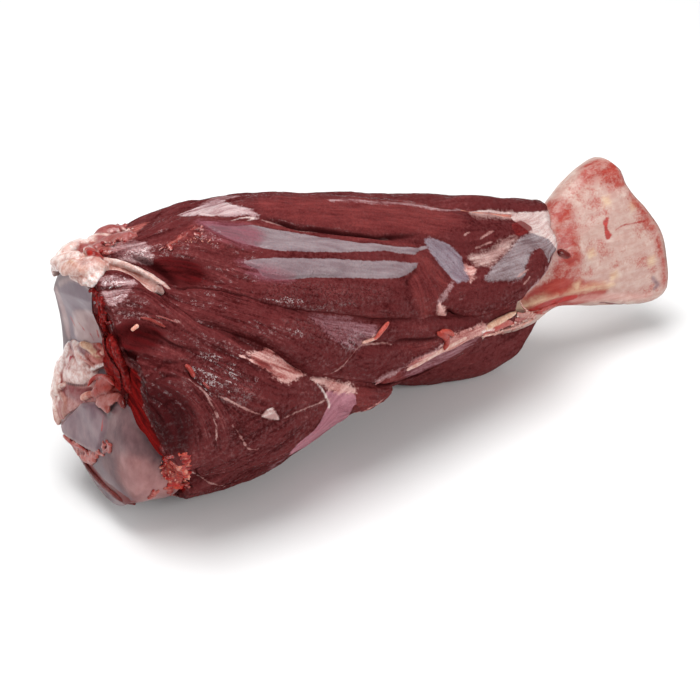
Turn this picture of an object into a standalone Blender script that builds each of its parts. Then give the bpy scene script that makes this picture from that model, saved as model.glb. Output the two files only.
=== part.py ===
"""A raw beef shin on the bone, lying on its side. X runs from the elbow to the wrist.

Every section across X is drawn round one axis: an angle of 0 points up, 90 to the front (-Y), 180 down.
A muscle is a row of stations along X, and the surface is the smooth outer hull of all of them. Seams
between the muscle groups are lines of angle over X, and the groups fill the space from seam to seam.
"""

import bmesh
import bpy
import numpy as np
from mathutils import Matrix

MM = 0.001

# The axis of the leg above the surface it lies on, as (x, height), and how far the meat reaches
# from that axis, as (x, radius).
AXIS_HEIGHT = [(-215, 87), (-80, 87), (-40, 85), (0, 82), (40, 75), (80, 69), (120, 67), (215, 67)]
MEAT_RADIUS = [(-215, 70), (-200, 74), (-180, 78), (-140, 82), (-110, 82.5), (-80, 78.5), (-40, 70),
               (0, 61), (40, 55), (80, 48.5), (100, 43), (120, 37), (135, 34)]
CORE_SINK = 5.0          # the hull under the muscles lies this far inside the meat radius
BACK_FLAT = 0.36         # how much the back of the elbow end is flattened
VALLEY = 1.1             # softness of the valleys between the muscles
FLANK = 0.85             # share of the half width over which a muscle is round, before a straight flank

# Muscles: x, angle, lift over the meat radius, half width, swell (millimetres and degrees).
EXTENSORS = {
    "elbow head": [(-212, -6, 1, 24, 8), (-190, -2, 2, 26, 9), (-168, 2, -1, 30, 9), (-145, 5, 3, 32, 10),
                   (-115, 10, 1, 24, 8), (-90, 12, -4, 14, 5), (-75, 14, -9, 8, 3)],
    "long top": [(-125, -8, -5, 10, 4), (-95, -4, 0, 18, 7), (-60, -2, 3, 24, 9), (-20, 5, 3, 26, 9),
                 (20, 12, 2, 24, 8), (60, 22, 0, 18, 7), (95, 25, -4, 12, 5), (115, 25, -10, 8, 3)],
    "strap": [(-130, 28, -3, 8, 4), (-100, 32, 1, 14, 6), (-60, 36, 1.5, 15, 6), (-20, 42, 1, 14, 6),
              (5, 46, -2, 10, 4), (18, 48, -7, 6, 3)],
    "belly": [(-155, 32, -4, 8, 4), (-125, 44, 1, 12, 7), (-90, 50, 3, 14, 9), (-50, 56, 3.5, 16, 10),
              (-15, 60, 3, 17, 9), (8, 66, -1, 12, 6), (18, 68, -6, 6, 3)],
    "wrist side": [(6, 72, -4, 8, 4), (25, 72, 1, 16, 9), (50, 68, 3, 20, 10), (75, 62, 3, 20, 10),
                   (95, 58, 1, 14, 8), (110, 56, -6, 8, 4)],
    "back top": [(-212, -34, 6, 24, 8), (-190, -36, 5, 26, 9), (-168, -40, -1, 28, 9),
                 (-120, -42, 0, 32, 10), (-60, -38, 0, 34, 11), (0, -35, 1, 30, 10), (60, -30, 1, 22, 8),
                 (100, -25, -2, 14, 6), (120, -20, -8, 8, 4)],
    "thin top": [(40, -8, -3, 8, 4), (60, -6, 2, 10, 5), (90, -6, 3, 10, 5), (110, -8, 1, 8, 4),
                 (122, -10, -6, 5, 3)],
}
SIDE = {
    "dark lobe": [(-170, 36, -4, 5, 3), (-145, 46, 0, 10, 6), (-115, 60, 3, 18, 10), (-90, 70, 4, 20, 11),
                  (-70, 74, 1, 14, 9), (-58, 76, -6, 8, 4)],
    "upper strand": [(-78, 66, -4, 6, 3), (-50, 70, 1, 10, 5), (-20, 82, 2, 11, 5), (10, 92, 1, 9, 4),
                     (40, 96, -1, 6, 3), (70, 100, -6, 4, 2)],
    "middle strand": [(-75, 86, -4, 6, 3), (-45, 88, 1, 11, 5), (-10, 100, 1, 11, 5), (20, 106, 0, 8, 4),
                      (50, 104, -3, 5, 2)],
    "lower strand": [(-60, 104, -4, 6, 3), (-35, 106, 0, 10, 5), (0, 116, 0, 9, 5), (30, 116, -2, 6, 3)],
}
LOBE = {
    "front": [(-212, 75, 3, 55, 12), (-180, 88, 4, 66, 20), (-150, 95, 4, 68, 22), (-120, 105, 3, 62, 20),
              (-95, 112, 0, 50, 16), (-75, 118, -5, 35, 10)],
    "under": [(-190, 155, 1, 44, 12), (-150, 170, 7, 54, 14), (-110, 172, 7, 54, 14),
              (-75, 168, 1, 42, 12), (-40, 160, -4, 25, 9)],
    "upper": [(-212, 28, 0, 22, 8), (-185, 32, 1, 24, 9), (-160, 52, -1, 16, 7), (-135, 66, -4, 8, 4)],
    "flap": [(-75, 108, -4, 8, 4), (-55, 114, 1, 12, 5), (-35, 120, 0, 10, 5), (-20, 124, -5, 6, 3)],
}
FLEXORS = {
    "hanging": [(-178, 235, -8, 25, 9), (-140, 238, -2, 34, 12), (-90, 236, 1, 36, 13),
                (-40, 222, 5, 38, 18), (0, 204, 18, 38, 24), (40, 193, 24, 38, 26), (80, 189, 25, 38, 26),
                (106, 187, 26, 28, 22), (120, 186, 14, 14, 12)],
    "back": [(-175, 262, -6, 22, 8), (-120, 262, 0, 30, 10), (-60, 262, 1, 30, 10), (0, 260, 0, 26, 9),
             (50, 255, -2, 20, 8), (95, 250, -6, 12, 6), (118, 250, -12, 6, 3)],
}

# Seams between the groups, (x, angle).
BACK_SEAM = [(-215, -78), (0, -78), (60, -74), (130, -72)]
TENDON_UPPER = [(-215, -2), (-190, -4), (-180, 1), (-172, 14), (-166, 25), (-160, 29), (-150, 32),
                (-129, 42), (-114, 50), (-95, 56), (-71, 62), (-26, 74), (5, 80), (27, 87), (63, 82),
                (84, 78), (107, 60), (120, 42)]
LOBE_UPPER = [(-215, 12), (-205, 12), (-190, 9), (-181, 14), (-172, 28), (-166, 39), (-160, 47), (-149, 53),
              (-131, 62), (-105, 79), (-68, 97), (-24, 119), (0, 123), (30, 118), (75, 108)]
UNDER_SEAM = [(-215, 215), (-90, 215), (-24, 226), (40, 232), (130, 238)]
LOBE_START = [(12, -206), (34, -208), (50, -206), (58, -200), (66, -201), (74, -205),
              (82, -206), (90, -201), (98, -196), (110, -186),
              (127, -173), (150, -166), (215, -166)]
LOBE_END = -24.0
HANGING_FREE = [(-15, 124), (20, 126), (45, 140), (75, 152), (130, 160)]

# The bone: x, centre forward (-Y) and above the axis, half height, half thickness, lean back, squareness.
BONE = [(-215, 0, 3, 61, 48, 0, 2.7), (-185, 0, 3, 61, 48, 0, 2.7), (-165, 0, 2, 57, 44, 0, 2.4),
        (-145, 0, -1, 39, 33, 0, 2.1), (-120, 0, -4, 27, 24, 0, 2), (-80, 0, -6, 21, 19, 0, 2),
        (0, 4, -12, 20, 18, 0, 2), (60, 9, -17, 21, 18, 10, 2), (95, 8, -15, 22, 18, 18, 2.1),
        (122, 3, -1, 31, 18, 20, 2.2), (148, 0, 4, 44, 19, 20, 2.3), (165, 0, 4, 48, 20, 20, 2.4),
        (190, 0, 0, 50, 21, 20, 2.5), (215, 0, -2, 50, 22, 20, 2.5)]
HEEL = [(-215, 150, -4, 42, 14), (-190, 154, 1, 44, 16), (-172, 158, 2, 40, 14), (-158, 160, -8, 24, 8)]

# The elbow end: where its face lies, the notch across it, and what stands out from it.
ELBOW_X = -200.0
ELBOW_SECTION = -190.0   # the face has the bone's outline at this station
NOTCH_HEIGHT = 104.0
NOTCH_TILT = 0.35        # how much the notch rises towards the front
NOTCH_HALF = 36.0
NOTCH_DEPTH = 15.0
FACET = (30.0, 36.0, 26.0, 6.0)         # y, z, reach, stand
HEEL_FACE = (-24.0, 45.0, 42.0, 6.0)
RIM = 3.0                # the edge between an end face and the sides is this wide

# The wrist end: height along the leaning blade and where the end lies.
WRIST_END = [(-60, 174), (-51, 190), (-45, 197), (-36, 200), (-24, 200), (-1, 197), (14, 190), (26, 183),
             (33, 179.5), (46, 177), (52, 169), (60, 156)]
WRIST_SECTION = 200.0
WRIST_AXIS_HEIGHT = 67.0
WRIST_LEAN = 20.0
JOINT_HOLLOW = 3.0       # depth of the hollows of the wrist joint
JOINT_SPACING = 26.0
JOINT_WIDTH = 14.0

# Rings of the bone: shares of the reach on both ends, and stations between.
BONE_TURN = 10.0         # degrees
ELBOW_RINGS = (0.12, 0.25, 0.38, 0.5, 0.62, 0.74, 0.85, 0.94, 0.985)
HEEL_SHARES = (0, 0.25, 0.5, 0.75)
SHAFT_STATIONS = (-165, -155, -145, -133, -120, -100, -80, -50, -20, 0, 20, 40, 60, 78, 95, 109)
BLADE_START = 120.0
BLADE_RINGS = 9
WRIST_RINGS = (0.96, 0.85, 0.65, 0.45, 0.25, 0.1)

# The muscle groups share their stations between the first and the last.
STATION_STEP = 9.0
FIRST_STATION = -159.0
LAST_STATION = 93.0
ELBOW_SHARES = (0, 0.05, 0.13, 0.28, 0.5, 0.75)
END_SHARES = (0.3, 0.6, 0.8, 0.92, 1)
GAP = 0.40               # each side of a seam
BONE_GAP = 0.8
TOUCH = 0.35             # least gap between two groups
INSIDE_BONE = 0.8        # the groups are made through the bone's surface and then cut by it
THINNEST = 0.6

# Fat over the top of the elbow, and the tendon that runs down from it: x and angle.
FAT_ANGLES = (-44, 6)
FAT_COLUMNS = 12
FAT_SHARES = (0, 0.12, 0.3, 0.55, 0.8, 0.93, 1)
FAT_START = -207.0
FAT_START_BEHIND = -200.0
FAT_WHOLE = -20          # the angle from which the fat starts at FAT_START
FAT_END = -188.5
FAT_PROUD = 1.5
FAT_EDGES = (6, 2, 7, 5)                # widths of its rounded edges: start, end, back, front
FAT_DEPTH = 62.5         # how near to the axis the fat hangs over the end face
FAT_RISE = 3.0           # and how much less at the front
CORD_PATH = [(-196, -9), (-186, 1), (-177, 9), (-170, 21), (-165, 33), (-160, 43), (-152, 50)]
CORD_RADIUS = 4.2
CORD_WIDER = 1.25        # its width over its height
CORD_SINK = 1.0
CORD_RINGS = 15
CORD_SIDES = 10

# Colour and roughness of each material.
MEAT = ((0.19, 0.032, 0.028), 0.4)
FAT = ((0.62, 0.45, 0.38), 0.45)
BONE_SURFACE = ((0.62, 0.50, 0.48), 0.35)


def smooth(rows, x):
    """The columns of rows at x, along smooth curves that pass through every row."""
    rows = np.asarray(rows, float)
    known = rows[:, 0]
    x = np.clip(np.asarray(x, float), known[0], known[-1])
    slopes = np.gradient(rows[:, 1:], known, axis=0)
    index = np.clip(np.searchsorted(known, x) - 1, 0, len(known) - 2)
    width = (known[index + 1] - known[index])[..., None]
    t = (x[..., None] - known[index][..., None]) / width
    start = rows[index, 1:]
    end = rows[index + 1, 1:]
    blend = (2 * t**3 - 3 * t**2 + 1) * start + (3 * t**2 - 2 * t**3) * end
    bend = (t**3 - 2 * t**2 + t) * slopes[index] + (t**3 - t**2) * slopes[index + 1]
    return np.moveaxis(blend + bend * width, -1, 0)


def line(rows, x):
    return smooth(rows, x)[0]


def seam(rows, x):
    """A seam's angle at x, straight between the shared stations so that both sides agree."""
    shared = np.arange(FIRST_STATION, LAST_STATION + 1, STATION_STEP)
    inside = (x > FIRST_STATION) & (x < LAST_STATION)
    return np.where(inside, np.interp(x, shared, line(rows, shared)), line(rows, x))


def axis_height(x):
    return line(AXIS_HEIGHT, x)


def turned(angle, centre):
    """The difference of two angles, from -180 to 180 degrees."""
    return (angle - centre + 180) % 360 - 180


def swelling(rows, x, angle, radius):
    """How far one muscle reaches at each x and angle. Beyond its ends it lies deep."""
    centre, lift, half_width, swell = smooth(rows, x)
    across = np.abs(np.radians(turned(angle, centre)) * (radius + lift) / half_width)
    round_part = np.minimum(across, FLANK)
    slope = FLANK / np.sqrt(1 - FLANK**2)
    height = np.sqrt(1 - round_part**2) - slope * (across - round_part)
    beyond = np.maximum(0, rows[0][0] - x) + np.maximum(0, x - rows[-1][0])
    return radius + lift + swell * (height - 1) - 3 * beyond


def hull(reaches):
    """The smooth outer hull of several reaches."""
    reaches = np.stack(reaches)
    highest = reaches.max(axis=0)
    return highest + VALLEY * np.log(np.exp((reaches - highest) / VALLEY).sum(axis=0))


def meat_radius(x, angle):
    radius = line(MEAT_RADIUS, x)
    behind = np.clip(-np.sin(np.radians(angle)), 0, 1) ** 1.5
    near_elbow = np.clip((-165 - x) / 40, 0, 1)
    return radius * (1 - BACK_FLAT * behind * near_elbow)


def meat(x, angle):
    radius = meat_radius(x, angle)
    muscles = [rows for group in (EXTENSORS, SIDE, LOBE, FLEXORS) for rows in group.values()]
    return hull([radius - CORE_SINK] + [swelling(rows, x, angle, radius) for rows in muscles])


def ellipse_reach(angle, forward, above, height, thickness, lean, squareness):
    """Distance from the axis to an ellipse round (forward, above), whose long side leans back."""
    a = np.radians(angle)
    tilt = np.radians(lean)
    ray = (np.sin(a), np.cos(a))
    long_side = (-np.sin(tilt), np.cos(tilt))
    short_side = (np.cos(tilt), np.sin(tilt))
    u = (ray[0] * long_side[0] + ray[1] * long_side[1]) / height
    v = (ray[0] * short_side[0] + ray[1] * short_side[1]) / thickness
    cu = (forward * long_side[0] + above * long_side[1]) / height
    cv = (forward * short_side[0] + above * short_side[1]) / thickness
    square = u**2 + v**2
    middle = u * cu + v * cv
    reach = (middle + np.sqrt(np.maximum(0, middle**2 - square * (cu**2 + cv**2 - 1)))) / square
    fuller = np.sqrt(square) / (np.abs(u) ** squareness + np.abs(v) ** squareness) ** (1 / squareness)
    return reach * fuller


def bone(x, angle):
    forms = ellipse_reach(angle, *smooth(BONE, x))
    heel = swelling(HEEL, x, angle, np.full_like(forms, 78.0))
    return hull([forms, np.maximum(heel, 1.0)])


def place(x, angle, reach):
    """Millimetres from the axis, as a point in metres, never below the surface it lies on."""
    a = np.radians(angle)
    up = np.maximum(axis_height(x) + reach * np.cos(a), 0)
    return np.stack([x, -reach * np.sin(a), up], axis=-1) * MM


def closed_mesh(name, points, faces):
    mesh = bpy.data.meshes.new(name)
    mesh.from_pydata(points.tolist(), [], faces)
    form = bmesh.new()
    form.from_mesh(mesh)
    bmesh.ops.recalc_face_normals(form, faces=form.faces)
    form.to_mesh(mesh)
    form.free()
    return mesh


def grid_faces(index):
    corners = [index[:-1, :-1], index[1:, :-1], index[1:, 1:], index[:-1, 1:]]
    return np.stack([c.ravel() for c in corners], axis=1).tolist()


def slab(name, x, angle, inner, outer):
    """A closed solid between two reaches, over a grid of x and angle."""
    points = np.concatenate([place(x, angle, outer).reshape(-1, 3), place(x, angle, inner).reshape(-1, 3)])
    top = np.arange(x.size).reshape(x.shape)
    under = top + x.size
    faces = grid_faces(top) + grid_faces(under)
    for upper, lower in ((top[0], under[0]), (top[-1], under[-1]),
                         (top[:, 0], under[:, 0]), (top[:, -1], under[:, -1])):
        faces += wall_faces(lower, upper)
    return closed_mesh(name, points, faces)


def wall_faces(lower, upper):
    """Triangles between two rows of points, all cut the same way, so that facing walls are parallel."""
    first = np.stack([lower[:-1], lower[1:], upper[1:]], axis=1)
    second = np.stack([lower[:-1], upper[1:], upper[:-1]], axis=1)
    return first.tolist() + second.tolist()


def round_off(distance, width):
    """0.12 at an edge, and 1 from the given width inwards, on a quarter round."""
    t = np.clip(distance / width, 0.012, 1)
    return np.sqrt(1 - (1 - t) ** 2)


def group(name, start, end, near, far, columns, round_start=0, round_end=0):
    """One muscle group from the seam near to the seam far, with start and end as x over the angle."""
    shared = np.arange(FIRST_STATION, LAST_STATION + 1, STATION_STEP)
    share = np.linspace(0, 1, columns)
    rows = []
    first = np.full(columns, -190.0)
    for _ in range(4):
        first = start(near(first) + share * (far(first) - near(first)))
    last = end(share)
    kept = shared[(shared > first.max()) & (shared < last.min())]
    if first.min() < FIRST_STATION:
        rows += [first + t * (kept[0] - first) for t in ELBOW_SHARES]
    else:
        rows += [first + t * (kept[0] - first) for t in (0, END_SHARES[0])]
    rows += [np.full(columns, x) for x in kept]
    rows += [kept[-1] + t * (last - kept[-1]) for t in END_SHARES]
    x = np.stack(rows)
    low = near(x)
    high = far(x)
    angle = low + share * (high - low)
    surface = bone(x, angle) + BONE_GAP
    around = np.radians(1) * line(MEAT_RADIUS, x)
    gap = GAP / around
    angle = low + gap + share * (high - low - 2 * gap)
    thick = meat(x, angle) - surface
    for width, distance in ((round_start, x - x[0]), (round_end, x[-1] - x)):
        if width:
            thick = thick * round_off(distance, width)
    return slab(name, x, angle, surface * INSIDE_BONE, surface + np.maximum(thick, THINNEST))


def elbow_face(y, z):
    """X of the elbow end at a point of it: a notch across its upper half, a facet and a heel below."""
    across = (z - NOTCH_HEIGHT + NOTCH_TILT * y) / NOTCH_HALF
    x = ELBOW_X + NOTCH_DEPTH * np.maximum(0, 1 - across**2)
    for y0, z0, reach, stand in (FACET, HEEL_FACE):
        x = x - stand * np.exp(-((y - y0) ** 2 + (z - z0) ** 2) / reach**2)
    return x


def wrist_face(y, z):
    """X of the wrist end: its outline over the blade's long side, with shallow joint hollows."""
    lean = np.radians(WRIST_LEAN)
    up_blade = (z - WRIST_AXIS_HEIGHT) * np.cos(lean) + y * np.sin(lean)
    across = -y * np.cos(lean) + (z - WRIST_AXIS_HEIGHT) * np.sin(lean)
    hollows = np.cos(np.pi * up_blade / JOINT_SPACING) * np.exp(-((across / JOINT_WIDTH) ** 2))
    return np.interp(up_blade, *np.transpose(WRIST_END)) + JOINT_HOLLOW * hollows


def end_cap(face, x, angle, reach, turns):
    """Rings that close an end, from its rim to its middle, on a face given by y and z."""
    rings = []
    for share in turns:
        y = -share * reach * np.sin(np.radians(angle))
        up = share * reach * np.cos(np.radians(angle)) + axis_height(x)
        rings.append(np.stack([face(y, up), y, np.maximum(up, 0)], axis=-1) * MM)
    return rings


def make_bone():
    """The whole foreleg bone: elbow block with its notch, shaft, and the leaning blade at the wrist."""
    angle = np.arange(0, 360, BONE_TURN)
    turn = np.full_like(angle, 1.0)
    sine = np.sin(np.radians(angle))
    cosine = np.cos(np.radians(angle))
    near = ELBOW_SECTION * turn
    near_reach = bone(near, angle)
    far = WRIST_SECTION * turn
    far_reach = bone(far, angle)
    rings = end_cap(elbow_face, near, angle, near_reach, ELBOW_RINGS)
    rim = elbow_face(-near_reach * sine, near_reach * cosine + axis_height(near)) + RIM
    for share in HEEL_SHARES:
        x = rim + share * (SHAFT_STATIONS[0] - rim)
        rings.append(place(x, angle, bone(x, angle)))
    for station in SHAFT_STATIONS:
        rings.append(place(station * turn, angle, bone(station * turn, angle)))
    end = wrist_face(-far_reach * sine, far_reach * cosine + WRIST_AXIS_HEIGHT) - RIM
    for share in np.linspace(0, 1, BLADE_RINGS):
        x = BLADE_START + share * (end - BLADE_START)
        rings.append(place(x, angle, bone(x, angle)))
    rings += end_cap(wrist_face, far, angle, far_reach, WRIST_RINGS)
    return closed_mesh("bone", *tube(rings))


def tube(rings):
    """Points and faces of closed rings joined in a row, with a fan over each end."""
    count = len(rings[0])
    points = np.concatenate([*rings, [rings[0].mean(axis=0)], [rings[-1].mean(axis=0)]])
    index = np.arange(len(rings) * count).reshape(len(rings), count)
    faces = grid_faces(np.concatenate([index, index[:, :1]], axis=1))
    for ring, middle in ((index[0], len(points) - 2), (index[-1], len(points) - 1)):
        faces += [[middle, int(a), int(b)] for a, b in zip(ring, np.roll(ring, -1))]
    return points, faces


def make_cord():
    """The pale tendon that comes over the elbow and runs down between the upper head and the lobe."""
    stations = np.array(CORD_PATH, float)
    steps = np.linspace(0, len(stations) - 1, CORD_RINGS)
    centre_x, centre_angle = smooth(np.column_stack([np.arange(len(stations)), stations]), steps)
    depth = meat(centre_x, centre_angle) - CORD_SINK
    middle = place(centre_x, centre_angle, depth)
    forward = np.gradient(middle, axis=0)
    forward /= np.linalg.norm(forward, axis=1)[:, None]
    a = np.radians(centre_angle)
    out = np.stack([0 * a, -np.sin(a), np.cos(a)], axis=1)
    side = np.cross(out, forward)
    side /= np.linalg.norm(side, axis=1)[:, None]
    taper = np.minimum(1, np.sin(np.linspace(0.25, np.pi - 0.25, CORD_RINGS)) * 2.2)
    swell = (CORD_RADIUS * MM * taper)[:, None]
    turns = 2 * np.pi * np.arange(CORD_SIDES) / CORD_SIDES
    sides = [middle + CORD_WIDER * np.cos(t) * swell * side + np.sin(t) * swell * out for t in turns]
    return closed_mesh("cord", *tube(list(np.stack(sides, axis=1))))


def fat_cap():
    """Fat and tendon that cover the knob at the top of the elbow end."""
    angle = np.linspace(*FAT_ANGLES, FAT_COLUMNS)
    start = np.interp(angle, (FAT_ANGLES[0], FAT_WHOLE), (FAT_START_BEHIND, FAT_START))
    x = np.stack([start + t * (FAT_END - start) for t in FAT_SHARES])
    angle = np.broadcast_to(angle, x.shape)
    surface = bone(x, angle) + BONE_GAP
    thick = meat(x, angle) + FAT_PROUD - surface
    around = np.radians(1) * line(MEAT_RADIUS, x)
    inwards = (x - x[0], x[-1] - x, (angle - FAT_ANGLES[0]) * around, (FAT_ANGLES[1] - angle) * around)
    for width, distance in zip(FAT_EDGES, inwards):
        thick = thick * round_off(distance, width)
    depth = FAT_DEPTH + FAT_RISE * np.clip(angle / FAT_ANGLES[1], 0, 1)
    return slab("fat cap", x, angle, depth + 0 * x, surface + np.maximum(thick, THINNEST))


def along(rows):
    return lambda x: seam(rows, x)


def lobe_start(angle):
    """The cut edge of the lobe stands proud at the front and draws back under the heel."""
    return np.interp(angle, *np.transpose(LOBE_START))


def hanging_near(x):
    """The hanging muscle follows the side muscles, and towards the wrist it leaves the bone bare."""
    return np.maximum(seam(LOBE_UPPER, x) + 2, seam(HANGING_FREE, x))


def flexor_far(x):
    return seam(BACK_SEAM, x) + 360


def steady(x):
    return lambda angle: np.full(np.shape(angle), float(x))


def extensor_start(angle):
    """The extensors begin beside the knob and draw back behind the notch."""
    return np.interp(angle, (-62, -46), (-176, -188))


def new_object(mesh, look=None):
    """An object with its own material, or with none if it is only a tool."""
    body = bpy.data.objects.new(mesh.name, mesh)
    bpy.context.collection.objects.link(body)
    if look:
        colour, roughness = look
        material = bpy.data.materials.new(mesh.name)
        material.use_nodes = True
        shader = material.node_tree.nodes["Principled BSDF"]
        shader.inputs["Base Color"].default_value = (*colour, 1)
        shader.inputs["Roughness"].default_value = roughness
        mesh.materials.append(material)
        mesh.shade_smooth()
        mesh.set_sharp_from_angle(angle=np.radians(50))
    return body


def grown(mesh, distance):
    """The mesh pushed out along its normals, to cut its neighbours with a gap."""
    mesh.update()
    normals = [v.normal.copy() for v in mesh.vertices]
    for vertex, normal in zip(mesh.vertices, normals):
        vertex.co += normal * distance * MM
    return mesh


def combine(body, tool, operation):
    """Joins tool to body or cuts body by it, and removes tool."""
    step = body.modifiers.new(operation, "BOOLEAN")
    step.operation = operation
    step.solver = "EXACT"
    step.object = tool
    graph = bpy.context.evaluated_depsgraph_get()
    result = bpy.data.meshes.new_from_object(body.evaluated_get(graph))
    body.modifiers.clear()
    body.data = result
    bpy.data.objects.remove(tool)


def stand_in_the_middle(bodies):
    """Moves all so that the origin is under the middle of the whole."""
    points = np.array([v.co for body in bodies for v in body.data.vertices])
    low = points.min(axis=0)
    high = points.max(axis=0)
    shift = Matrix.Translation((-(low[0] + high[0]) / 2, -(low[1] + high[1]) / 2, -low[2]))
    for body in bodies:
        body.data.transform(shift)


def build():
    for old in list(bpy.data.objects):
        bpy.data.objects.remove(old)
    leg_bone = new_object(make_bone(), BONE_SURFACE)
    extensors = new_object(group("extensor_muscles", extensor_start, steady(118), along(BACK_SEAM),
                                 along(TENDON_UPPER), 18, round_start=3, round_end=9), MEAT)
    side = new_object(group("side_muscles", steady(FIRST_STATION), steady(76), along(TENDON_UPPER),
                            along(LOBE_UPPER), 9, round_end=10), MEAT)
    lobe = new_object(group("elbow_lobe", lobe_start, steady(LOBE_END - GAP), along(LOBE_UPPER),
                            along(UNDER_SEAM), 19, round_start=2.5), MEAT)
    hanging = new_object(group("hanging_muscle", steady(LOBE_END + GAP), steady(119), hanging_near,
                               along(UNDER_SEAM), 15, round_end=14), MEAT)
    flexors = new_object(group("flexor_muscles", steady(-178), steady(122), along(UNDER_SEAM), flexor_far,
                               11, round_start=12, round_end=10), MEAT)
    tendon = new_object(fat_cap(), FAT)
    combine(tendon, new_object(make_cord()), "UNION")
    tendon.name = "elbow_tendon"
    for body in (extensors, side, lobe):
        combine(body, new_object(grown(tendon.data.copy(), TOUCH)), "DIFFERENCE")
    for neighbour in (extensors, lobe):
        combine(side, new_object(grown(neighbour.data.copy(), TOUCH)), "DIFFERENCE")
    for body in (extensors, side, lobe, hanging, flexors, tendon):
        combine(body, new_object(grown(make_bone(), BONE_GAP)), "DIFFERENCE")
    stand_in_the_middle([leg_bone, extensors, side, lobe, hanging, flexors, tendon])


build()
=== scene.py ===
"""A raw beef shin on the bone: its finished surfaces, over the solids of the frame."""

import bmesh
import bpy
import numpy as np
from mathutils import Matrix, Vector
from mathutils.bvhtree import BVHTree


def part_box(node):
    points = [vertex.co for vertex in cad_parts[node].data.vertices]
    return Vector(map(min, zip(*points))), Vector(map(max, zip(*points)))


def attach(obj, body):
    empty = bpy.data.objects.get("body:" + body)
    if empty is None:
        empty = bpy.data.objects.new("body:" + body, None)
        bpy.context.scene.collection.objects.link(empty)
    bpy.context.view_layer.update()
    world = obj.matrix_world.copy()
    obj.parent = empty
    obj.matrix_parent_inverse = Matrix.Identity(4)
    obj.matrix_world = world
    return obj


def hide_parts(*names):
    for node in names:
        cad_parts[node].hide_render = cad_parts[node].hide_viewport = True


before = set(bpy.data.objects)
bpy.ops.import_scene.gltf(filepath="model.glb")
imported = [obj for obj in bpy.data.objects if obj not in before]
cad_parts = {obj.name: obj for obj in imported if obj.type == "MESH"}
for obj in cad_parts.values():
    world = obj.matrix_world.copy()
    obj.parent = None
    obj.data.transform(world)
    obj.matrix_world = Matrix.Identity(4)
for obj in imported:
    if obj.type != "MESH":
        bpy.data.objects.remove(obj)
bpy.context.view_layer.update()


# --- The view --------------------------------------------------
# The shin is seen from its front, from the elbow side and from above, with a long lens. What is
# drawn on it below is drawn as it is seen from there, in pixels of a 700 x 700 picture.

MM = 0.001
PICTURE = 700
LENS = 146.6
SENSOR = 36.0
AZIMUTH = np.radians(32)
ELEVATION = np.radians(33)
DISTANCE = 1.75
AIM = np.array([-0.0239, 0.0, 0.0463])

# Lengths along the leg are in millimetres from a point on its axis, which OFFSET puts in the frame.
FLEXOR_START = -178.0
AXIS_BACK = 0.00147
OFFSET = np.array([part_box("flexor_muscles")[0].x - FLEXOR_START * MM, AXIS_BACK, 0.0])

BACKWARDS = np.array([-np.sin(AZIMUTH) * np.cos(ELEVATION), -np.cos(AZIMUTH) * np.cos(ELEVATION),
                      np.sin(ELEVATION)])
RIGHT = np.array([np.cos(AZIMUTH), -np.sin(AZIMUTH), 0.0])
UP = np.cross(BACKWARDS, RIGHT)
EYE = AIM + OFFSET + DISTANCE * BACKWARDS


def placed(name, data):
    """A new object of the scene."""
    made = bpy.data.objects.new(name, data)
    bpy.context.scene.collection.objects.link(made)
    return made


camera_data = bpy.data.cameras.new("camera")
camera_data.lens = LENS
camera_data.sensor_width = SENSOR
camera = placed("camera", camera_data)
camera.location = EYE
camera.rotation_euler = Vector(-BACKWARDS).to_track_quat("-Z", "Y").to_euler()
bpy.context.scene.camera = camera


def curve_through(points, closed, step=3.0):
    """Points every few pixels along a smooth curve through the given ones."""
    points = np.asarray(points, float)
    if closed:
        before, after = np.roll(points, 1, 0), np.roll(points, -1, 0)
        spans = len(points)
    else:
        before = np.vstack([2 * points[0] - points[1], points[:-1]])
        after = np.vstack([points[1:], 2 * points[-1] - points[-2]])
        spans = len(points) - 1
    tangent = (after - before) / 2
    out = []
    for k in range(spans):
        a, b = points[k], points[(k + 1) % len(points)]
        ta, tb = tangent[k] * 0.7, tangent[(k + 1) % len(points)] * 0.7
        count = max(1, int(np.linalg.norm(b - a) / step))
        t = np.arange(count)[:, None] / count
        out.append((2 * t**3 - 3 * t**2 + 1) * a + (t**3 - 2 * t**2 + t) * ta
                   + (3 * t**2 - 2 * t**3) * b + (t**3 - t**2) * tb)
    if not closed:
        out.append(points[-1:])
    return np.vstack(out)


def sight_lines(pixels):
    """The directions in which the eye sees the pixels."""
    per_pixel = SENSOR / LENS / PICTURE
    across = (pixels[:, 0] - PICTURE / 2) * per_pixel
    upward = (PICTURE / 2 - pixels[:, 1]) * per_pixel
    lines = -BACKWARDS + across[:, None] * RIGHT + upward[:, None] * UP
    return lines / np.linalg.norm(lines, axis=1)[:, None]


# --- The bone --------------------------------------------------
# The whole foreleg bone: the elbow block with its smooth notch, the shaft inside the meat and the
# broad, bare blade at the wrist.

# Along the leg, in millimetres: the height of its axis; the bone's middle in front of the axis and
# above it, its two half widths, its lean and how square it is; and the heel, as the muscles are given.
AXIS_HEIGHT = [(-215, 87), (-80, 87), (-40, 85), (0, 82), (40, 75), (80, 69), (120, 67), (215, 67)]
BONE = [(-215, 0, 3, 61, 48, 0, 2.7), (-185, 0, 3, 61, 48, 0, 2.7), (-165, 0, 2, 57, 44, 0, 2.4),
    (-145, 0, -1, 39, 33, 0, 2.1), (-120, 0, -4, 27, 24, 0, 2), (-80, 0, -6, 21, 19, 0, 2),
    (0, 4, -12, 20, 18, 0, 2), (60, 9, -17, 21, 18, 10, 2), (95, 8, -15, 22, 18, 18, 2.1),
    (122, 3, -2.2, 29.8, 18, 20, 2.2), (148, 0, 2.7, 42.7, 19, 20, 2.3), (165, 0, 4, 48, 20, 20, 2.4),
    (190, 0, 0, 50, 21, 20, 2.5), (215, 0, -2, 50, 22, 20, 2.5)]
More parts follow.
